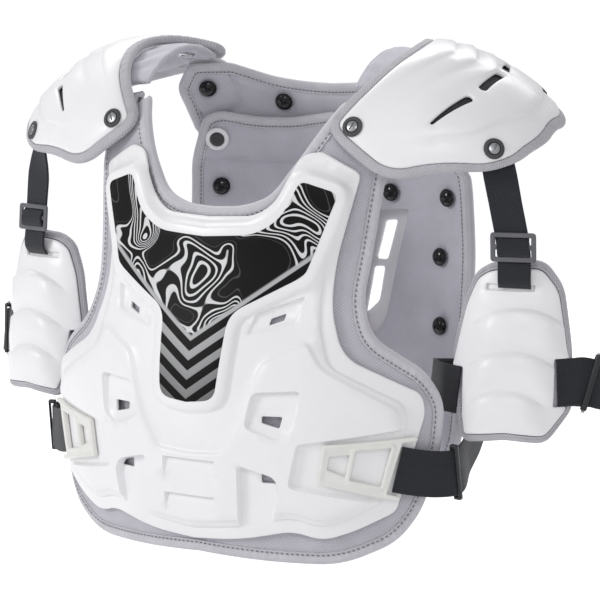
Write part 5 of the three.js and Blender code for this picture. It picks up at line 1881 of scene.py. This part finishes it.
def ribbon(at, across, width, thick, shape, columns=14, step=2.5):
    """A closed strap; shape(place, side, face) lifts its faces, in millimetres."""
    across = np.broadcast_to(across, at.shape).astype(float)
    lengths = np.concatenate([[0], np.cumsum(np.linalg.norm(np.diff(at, axis=0), axis=1))])
    count = max(4, int(lengths[-1] / step))
    spread = np.linspace(0, lengths[-1], count + 1)
    at = np.stack([np.interp(spread, lengths, at[:, k]) for k in range(3)], -1)
    across = np.stack([np.interp(spread, lengths, across[:, k]) for k in range(3)], -1)
    along = np.gradient(at, axis=0)
    along /= np.linalg.norm(along, axis=1, keepdims=True)
    across -= along * np.sum(across * along, 1, keepdims=True)
    across /= np.linalg.norm(across, axis=1, keepdims=True)
    normal = np.cross(along, across)
    turn = (np.arange(columns) + 0.5) / columns * math.pi
    sides = np.concatenate([-np.cos(turn), np.cos(turn)])
    faces_up = np.concatenate([np.ones(columns), -np.ones(columns)])
    bulge = rounded((1 - np.abs(sides)) * width / 2, max(thick * 0.55, 0.8)) * faces_up
    n = 2 * columns
    place = np.broadcast_to(spread[:, None], (count + 1, n))
    lift = shape(place, np.broadcast_to(sides, (count + 1, n)), faces_up[None])
    taper = np.ones(count + 1)
    taper[[0, -1]] = 0.6
    verts = (
        at[:, None]
        + across[:, None] * (sides * width / 2)[None, :, None]
        + normal[:, None] * (bulge[None] * thick / 2 * taper[:, None] + lift)[..., None]
    )
    i, k = np.meshgrid(np.arange(count), np.arange(n), indexing="ij")
    a = (i * n + k).ravel()
    b = (i * n + (k + 1) % n).ravel()
    faces = np.concatenate([np.stack([a, b + n, b], -1), np.stack([a, a + n, b + n], -1)])
    caps = []
    for j in range(1, n - 1):
        caps.append((0, j, j + 1))
        last = count * n
        caps.append((last, last + j + 1, last + j))
    charts = np.stack([np.broadcast_to(sides * width / 2, (count + 1, n)), place], -1)
    return verts.reshape(-1, 3), np.concatenate([faces, caps]), charts.reshape(-1, 2)


def strap_pair(name, made, material, nodes=()):
    verts, faces, charts = made
    return object_pair(name, verts, faces, material, nodes, charts, flip=True, sharp=60)


bent = curve([(0, 0, 0), (50, 0, 10), (100, 0, 0)])
print("a bent line of", round(float(np.linalg.norm(np.diff(bent, axis=0), axis=1).sum()), 1), "mm")

# %% [markdown]
# A webbing strap hangs each guard from its cap: it leaves from under the cap's pad, runs through
# the slide and ends in the guard's slot.

# %% Webbing
web_width = 26
web_thick = 2
web_gap = 1.7
web_depth = cap_pad_top - cap_pad_thick - web_gap - web_thick / 2
web_across = np.array([math.cos(guard_yaw), math.sin(guard_yaw), 0])
web_knots = []
web_sides = []
for out, along in ((0.77, -0.75), (0.785, -0.88), (0.8, -1.0), (0.81, -1.07)):
    at = np.array(on(cap_surface, out * cap_span, along * cap_arch, web_depth))
    web_knots.append(at)
    web_sides.append(np.array(on(cap_surface, out * cap_span + 1, along * cap_arch, web_depth)) - at)
web_shift = 3.5
web_low = web_knots[-1]
glide_at = np.array(on(guard_surface, -3, 0.63 * guard_height, 10))
web_guard = np.array(
    on(
        guard_surface,
        guard_slot_centre + web_shift,
        guard_slot_up + guard_slot_high / 2 + 2 * web_thick,
        guard_wall + 2 * web_thick,
    )
)
web_slot = np.array(on(guard_surface, guard_slot_centre + web_shift, guard_slot_up, guard_wall / 2))
web_knots += [web_low + 0.5 * (glide_at - web_low), glide_at - [0, 0, 3], web_guard, web_slot]
web_sides += [web_across] * 4


def selvedge(place, side, face):
    return face * 0.18 * np.exp(-(((1 - np.abs(side)) / 0.1) ** 2)) + 0.35 * np.sin(place / 21) * side


web_at, web_turn = curve(web_knots, web_sides)
strap_pair(
    "arm_webbing_strap",
    ribbon(web_at, web_turn, web_width, web_thick, selvedge),
    black_webbing,
    ["arm_webbing"],
)

# %% [markdown]
# The three-bar slide on the webbing is a moulded frame of black plastic, drawn grey all over: the
# grey paints the highlight its edges catch. The webbing comes up through it and over the middle
# bar, so a folded length lies in front of that bar.

# %% Three-bar slides
# Grey stands in for the highlight on a black frame: painted highlight.
painted_highlight_grey = moulded_plastic("dark grey moulded acetal", "#6B6B70", "#5A5A5F", 0.34, 1.2, 0.2)
glide_wide = web_width + 10
glide_high = 23
glide_bar = 4
glide_thick = 2.6
hang_up = (glide_at - web_guard) / np.linalg.norm(glide_at - web_guard)
hang_out = np.cross(web_across, hang_up)
hang_out /= np.linalg.norm(hang_out)
glide_frame = Frame(glide_at + hang_out * (web_thick / 2 + 0.6), web_across, hang_up, hang_out)


def frame_plate(half_wide, half_high, holes, thick, corner=3.0, edge=0.9):
    """A flat frame; holes are rows of left, right, low and high."""
    ring = box_ring(-half_wide, half_wide, -half_high, half_high, corner, 1.5)
    openings = [box_ring(*hole, 0.6, 1.5) for hole in holes]
    made = plate(ring, openings, [], even(thick), even(0), spacing=3, edge=edge, hole_edge=edge)
    return np.concatenate([made[0], made[1][:, None]], 1), made[2]


inner_wide = glide_wide / 2 - glide_bar
inner_high = glide_high / 2 - glide_bar
glide = frame_plate(
    glide_wide / 2,
    glide_high / 2,
    [
        (-inner_wide, inner_wide, glide_bar / 2, inner_high),
        (-inner_wide, inner_wide, -inner_high, -glide_bar / 2),
    ],
    glide_thick,
)
stand_pair("arm_triglide_frame", glide, glide_frame, painted_highlight_grey, ["arm_triglide"])
fold_knots = [
    (0, inner_high - 0.6, 0.2), (0, glide_bar / 2 + 1.6, 2.4), (0, 1, glide_thick + 1.1),
    (0, -glide_bar / 2, glide_thick + 1.2), (0, -inner_high + 1.2, 2.2),
    (0, -inner_high + 0.4, 0.2),
]
fold_line = curve([placed(p, glide_frame) for p in fold_knots])
fold = ribbon(fold_line, web_across, web_width - 0.8, 1.6, selvedge, step=1.2)
strap_pair("arm_webbing_fold", fold, black_webbing)

# %% [markdown]
# A wide elastic goes from the guard's outer notch round the arm to its inner one.

# %% Arm bands
def band_row(out, lift, up):
    return np.array(on(guard_surface, out * guard_half, up * guard_height, lift + elastic_thick / 2))


band_from = band_row(0.76, 0, outer_up)
band_to = band_row(-0.85, 0, inner_up)
band_dip = 0.16
BandPoint = namedtuple("BandPoint", "out back")
band_loop = [
    BandPoint(1.2, 0.55), BandPoint(1.08, 1.05), BandPoint(0.7, 1.55), BandPoint(0.05, 1.85),
    BandPoint(-0.7, 1.8), BandPoint(-1.45, 1.4), BandPoint(-1.8, 0.9), BandPoint(-1.66, 0.4),
]
band_knots = [band_from, band_row(1.0, 0.2, outer_up), band_row(1.22, 0.4, outer_up)]
for p in band_loop:
    turned_in = (1.2 - p.out) / 3
    band_knots.append(
        np.array(
            [
                guard_out + p.out * guard_half,
                band_from[1] + p.back * guard_half,
                band_from[2] + turned_in * (band_to[2] - band_from[2]) - band_dip * p.back * guard_half,
            ]
        )
    )
band_knots += [band_row(-1.24, 0.4, inner_up), band_row(-1.05, 0.2, inner_up), band_to]
band_across = np.array([0, guard_rake, 1]) / math.hypot(guard_rake, 1)


def elastic_relief(place, side, face):
    cords = 0.12 * np.cos(side * math.pi * 13)
    return face * cords + 0.5 * np.sin(place / 17 + 2 * side) * (1 - np.abs(side) * 0.4)


band_at = curve(band_knots)
strap_pair(
    "arm_band_elastic",
    ribbon(band_at, band_across, elastic_width, elastic_thick, elastic_relief, 26),
    black_elastic,
    ["arm_band"],
)

# %% [markdown]
# A narrow slide near the start of the band is a bar across the elastic, with a bright pin at
# each end.

# %% Band slides
def slide_frame(line, share, across):
    """Place and axes at a share of the way along a line."""
    lengths = np.concatenate([[0], np.cumsum(np.linalg.norm(np.diff(line, axis=0), axis=1))])
    at = np.array([np.interp(share * lengths[-1], lengths, line[:, k]) for k in range(3)])
    ahead = np.array([np.interp(share * lengths[-1] + 1, lengths, line[:, k]) for k in range(3)])
    along = (ahead - at) / np.linalg.norm(ahead - at)
    wide = across - along * np.dot(across, along)
    wide /= np.linalg.norm(wide)
    thin = np.cross(along, wide)
    return Frame(at, wide, thin, along)


slide_half = elastic_width / 2 + 4.2
slide_high = 3.4
slide_deep = 4.4
bar = frame_plate(
    slide_half,
    slide_high,
    [(-elastic_width / 2 - 0.8, elastic_width / 2 + 0.8, -1.7, 1.7)],
    slide_deep,
    corner=1.4,
    edge=0.8,
)
bar = (bar[0] - [0, 0, slide_deep / 2], bar[1])
band_slide = slide_frame(band_at, 0.09, band_across)
stand_pair("arm_band_slide_bar", bar, band_slide, black_acetal, ["arm_band_slider"])
pin = turned_part([(0, 0), (1.5, 0), (1.7, 0.4), (1.5, 1.6), (0.9, 2.1), (0, 2.2)], 16)
for end, sign in (("top", 1), ("bottom", -1)):
    out = band_slide.x * sign
    seat = Frame(band_slide.at + out * (slide_half - 0.4), band_slide.z, np.cross(out, band_slide.z), out)
    stand_pair(f"arm_band_slide_pin_{end}", pin, seat, zinc_steel)

# %% [markdown]
# Padded straps cross the shoulders under the caps. They are stitched along both edges, and they
# wrinkle where they bend, so their faces carry small folds across the strap. A small metal
# eyelet sits in the underside of each.

# %% Shoulder straps
strap_thick = 6
strap_width = 33
strap_gap = 1.8
strap_depth = cap_pad_top - cap_pad_thick - strap_gap - strap_thick / 2
strap_out = 0.1 * cap_span
strap_knots = []
strap_sides = []
for along in (-0.5, -0.36, -0.18, 0, 0.18, 0.36, 0.54, 0.7):
    at = np.array(on(cap_surface, strap_out, along * cap_arch, strap_depth))
    strap_knots.append(at)
    strap_sides.append(np.array(on(cap_surface, strap_out + 1, along * cap_arch, strap_depth)) - at)


def strap_folds(place, side, face):
    seam = -0.8 * np.exp(-(((np.abs(side) - 0.78) / 0.05) ** 2))
    folds = np.sin(place / 3.3 + 1.6 * np.sin(side * 2.2) + 0.9 * np.sin(place / 13))
    return face * (seam + 1.2 * folds * (1 - side**2) * smooth((place - 6) / 16))


strap_line, strap_turn = curve(strap_knots, strap_sides)
padded_strap = ribbon(strap_line, strap_turn, strap_width, strap_thick, strap_folds, 22, 1.8)
strap_pieces = strap_pair(
    "shoulder_strap_padded", padded_strap, lining_twill, ["shoulder_strap"]
)

eyelet = turned_part([(0, 0), (6.6, 0), (7.4, 0.5), (6.8, 1.3), (4.6, 1.7), (3.9, 1.0), (0, 1.3)])
eyelet_seat = slide_frame(strap_line, 0.8, strap_turn[-1])
eyelet_down = eyelet_seat.y * (-1 if eyelet_seat.y[2] > 0 else 1)
eyelet_at = eyelet_seat.at + eyelet_down * (strap_thick / 2 + 0.4)
eyelet_seat = Frame(eyelet_at, eyelet_seat.x, np.cross(eyelet_down, eyelet_seat.x), eyelet_down)
stand_pair("shoulder_strap_eyelet", eyelet, eyelet_seat, zinc_steel)

# %% [markdown]
# The waist clips are moulded ladders in off-white acetal that lie in the plate's recesses. Each
# has a window with a raised frame round it and a notch that shows the recess floor.

# %% Waist clips
clip_thick = 4.6
clip_level = recess_level + 0.6
clip_ring = side_ring(
    table(
        (0.54, 0.734, 0.01), (0.905, 0.72, 0.012), (0.9, 0.7285, 0.005), (0.842, 0.7315, 0.005),
        (0.7795, 0.832, 0.005), (0.83, 0.839, 0.005), (0.825, 0.849, 0.012), (0.515, 0.812, 0.012),
    ),
    half_chest,
    1.8,
)
clip_window = side_ring(
    table((0.665, 0.745, 0.004), (0.8, 0.7405, 0.004), (0.757, 0.8175, 0.004), (0.64, 0.8035, 0.004)),
    half_chest,
    1.8,
)
clip_notch = side_ring(
    table((0.565, 0.757, 0.004), (0.64, 0.7535, 0.004), (0.622, 0.797, 0.004), (0.555, 0.783, 0.004)),
    half_chest,
    1.8,
)
print("clips are", clip_thick, "mm thick")


def clip_top(flat):
    level = clip_level + clip_thick - 1.1
    level = level + 1.1 * smooth((4 + inside(flat, clip_window)) / 1.4)
    level = level + 0.8 * (1 - smooth((inside(flat, clip_ring) - 2.2) / 1.2))
    return np.minimum(level, clip_level + clip_thick)


clip_plate = plate(
    clip_ring,
    [clip_window, clip_notch],
    crease_lines(clip_window, -4, -2.6) + crease_lines(clip_ring, 2.2, 3.4),
    clip_top,
    even(clip_level),
    spacing=4,
    edge=0.9,
    hole_edge=0.8,
)
show_pair("waist_clip_ladder", clip_plate, chest_surface, white_acetal, ["waist_clip"])

# %% [markdown]
# From each clip a wide elastic goes round the side to the back plate. It starts as slanted as
# the clip and turns upright on the way. Its slide is the same bar as on the arm bands.

# %% Waist straps
StrapRow = namedtuple("StrapRow", "across down")
strap_level = clip_level + elastic_thick
strap_head = [
    StrapRow(0.822, 0.7845), StrapRow(0.9, 0.793), StrapRow(0.99, 0.799), StrapRow(1.06, 0.797),
]
strap_tail = [StrapRow(1.03, 0.722), StrapRow(0.9, 0.716), StrapRow(0.76, 0.712)]
waist_knots = []
waist_sides = []
for row in strap_head:
    u = row.across * half_chest
    z = -row.down * torso_height
    slant = 18 * (1 - row.across)
    waist_knots.append(np.array(on(chest_surface, u, z, strap_level)))
    above = on(chest_surface, u + slant, z + 10, strap_level)
    below = on(chest_surface, u - slant, z - 10, strap_level)
    waist_sides.append(np.array((above - below).normalized()))
tail_level = body_level + 1.5 + elastic_thick
tail_knots = []
tail_sides = []
for row in strap_tail:
    u = row.across * half_back
    z = -row.down * torso_height
    tail_knots.append(np.array(on(back_surface, u, z, tail_level)))
    above = on(back_surface, u, z + 10, tail_level)
    below = on(back_surface, u, z - 10, tail_level)
    tail_sides.append(np.array((above - below).normalized()))
for share, out in ((0.3, 0.02), (0.62, 0.03)):
    at = waist_knots[3] + share * (tail_knots[0] - waist_knots[3]) + [out * half_chest, 0, 0]
    waist_knots.append(at)
    waist_sides.append(np.array([0, 0, 1.0]))
waist_knots += tail_knots
waist_sides += tail_sides
waist_line, waist_turn = curve(waist_knots, waist_sides)
strap_pair(
    "waist_strap_elastic",
    ribbon(waist_line, waist_turn, elastic_width, elastic_thick, elastic_relief, 26),
    black_elastic,
    ["waist_strap"],
)
waist_slide = slide_frame(waist_line, 0.2, np.array([0, 0, 1.0]))
stand_pair("waist_strap_slide_bar", bar, waist_slide, black_acetal, ["waist_strap_slider"])

# %% [markdown]
# The object floats over a plain sheet of white paper, in front of white. The sheet lies flat and
# well below, so it hides nothing from the sides or from above.

# %% Paper floor
floor_level = -560
floor_half = 3200
floor_front = -2600
floor_back = 2600
behind = -Vector((toward_camera.x, toward_camera.y, 0)).normalized()
beside = Vector((-behind.y, behind.x, 0))
floor_verts = []
for away, sign in ((floor_front, -1), (floor_front, 1), (floor_back, 1), (floor_back, -1)):
    at = behind * away + beside * sign * floor_half + Vector((0, 0, floor_level))
    floor_verts.append(tuple(at * mm))
floor_mesh = bpy.data.meshes.new("paper_floor")
floor_mesh.from_pydata(floor_verts, [], [(0, 1, 2, 3)])
floor = bpy.data.objects.new("paper_floor", floor_mesh)
bpy.context.collection.objects.link(floor)
paper, tree = new_material("white seamless paper")
fibres = add(tree, "ShaderNodeTexNoise", {"Scale": 1 / (3 * mm), "Detail": 2.0})
share = add(tree, "ShaderNodeMapRange", {"Value": fibres.outputs["Fac"], "From Min": 0.3, "From Max": 0.7})
color = add(
    tree,
    "ShaderNodeMix",
    {"Factor": share.outputs[0], "A": linear("#FBFBFC"), "B": linear("#FDFDFE")},
    data_type="RGBA",
)
shader = add(
    tree, "ShaderNodeBsdfPrincipled", {"Base Color": color.outputs["Result"], "Roughness": 0.95}
)
finish_material(tree, shader)
floor_mesh.materials.append(paper)
print("paper lies", -floor_level, "mm below the shoulders")

# %% [markdown]
# A large soft key comes from the upper left, a small lamp above the camera gives the rivets their
# highlights, a weak fill opens the right side, and a long lamp behind keeps the paper white. The
# room's own light is dimmer than the white it shows to the camera, so hollows and edges read.

# %% Light
def soft_light(name, place, size, energy, aim=(0, 0, -190)):
    data = bpy.data.lights.new(name, "AREA")
    data.shape = "RECTANGLE"
    data.size = size[0] * mm
    data.size_y = size[1] * mm
    data.energy = energy
    lamp = bpy.data.objects.new(name, data)
    bpy.context.collection.objects.link(lamp)
    lamp.location = Vector(place) * mm
    lamp.rotation_euler = (Vector(place) - Vector(aim)).to_track_quat("Z", "Y").to_euler()
    print(name, "lamp:", energy, "W")


soft_light("key", (-1250, -1750, 750), (650, 650), 15)
soft_light("front", toward_camera * 1500 + Vector((0, 0, 450)), (400, 400), 3)
soft_light("fill", (1700, -1300, 200), (1500, 1500), 1.4)
soft_light("paper_light", behind * 1600 + Vector((0, 0, 1500)), (3000, 1600), 62, behind * 2000)
world = bpy.data.worlds.new("studio")
bpy.context.scene.world = world
world.use_nodes = True
room = world.node_tree.nodes["Background"]
room.inputs["Color"].default_value = linear("#F8F9FB")
seen = add(world.node_tree, "ShaderNodeLightPath")
strength = add(
    world.node_tree,
    "ShaderNodeMapRange",
    {"Value": seen.outputs["Is Camera Ray"], "To Min": 0.53, "To Max": 1.08},
)
world.node_tree.links.new(strength.outputs[0], room.inputs["Strength"])
bpy.context.scene.view_settings.view_transform = "Standard"
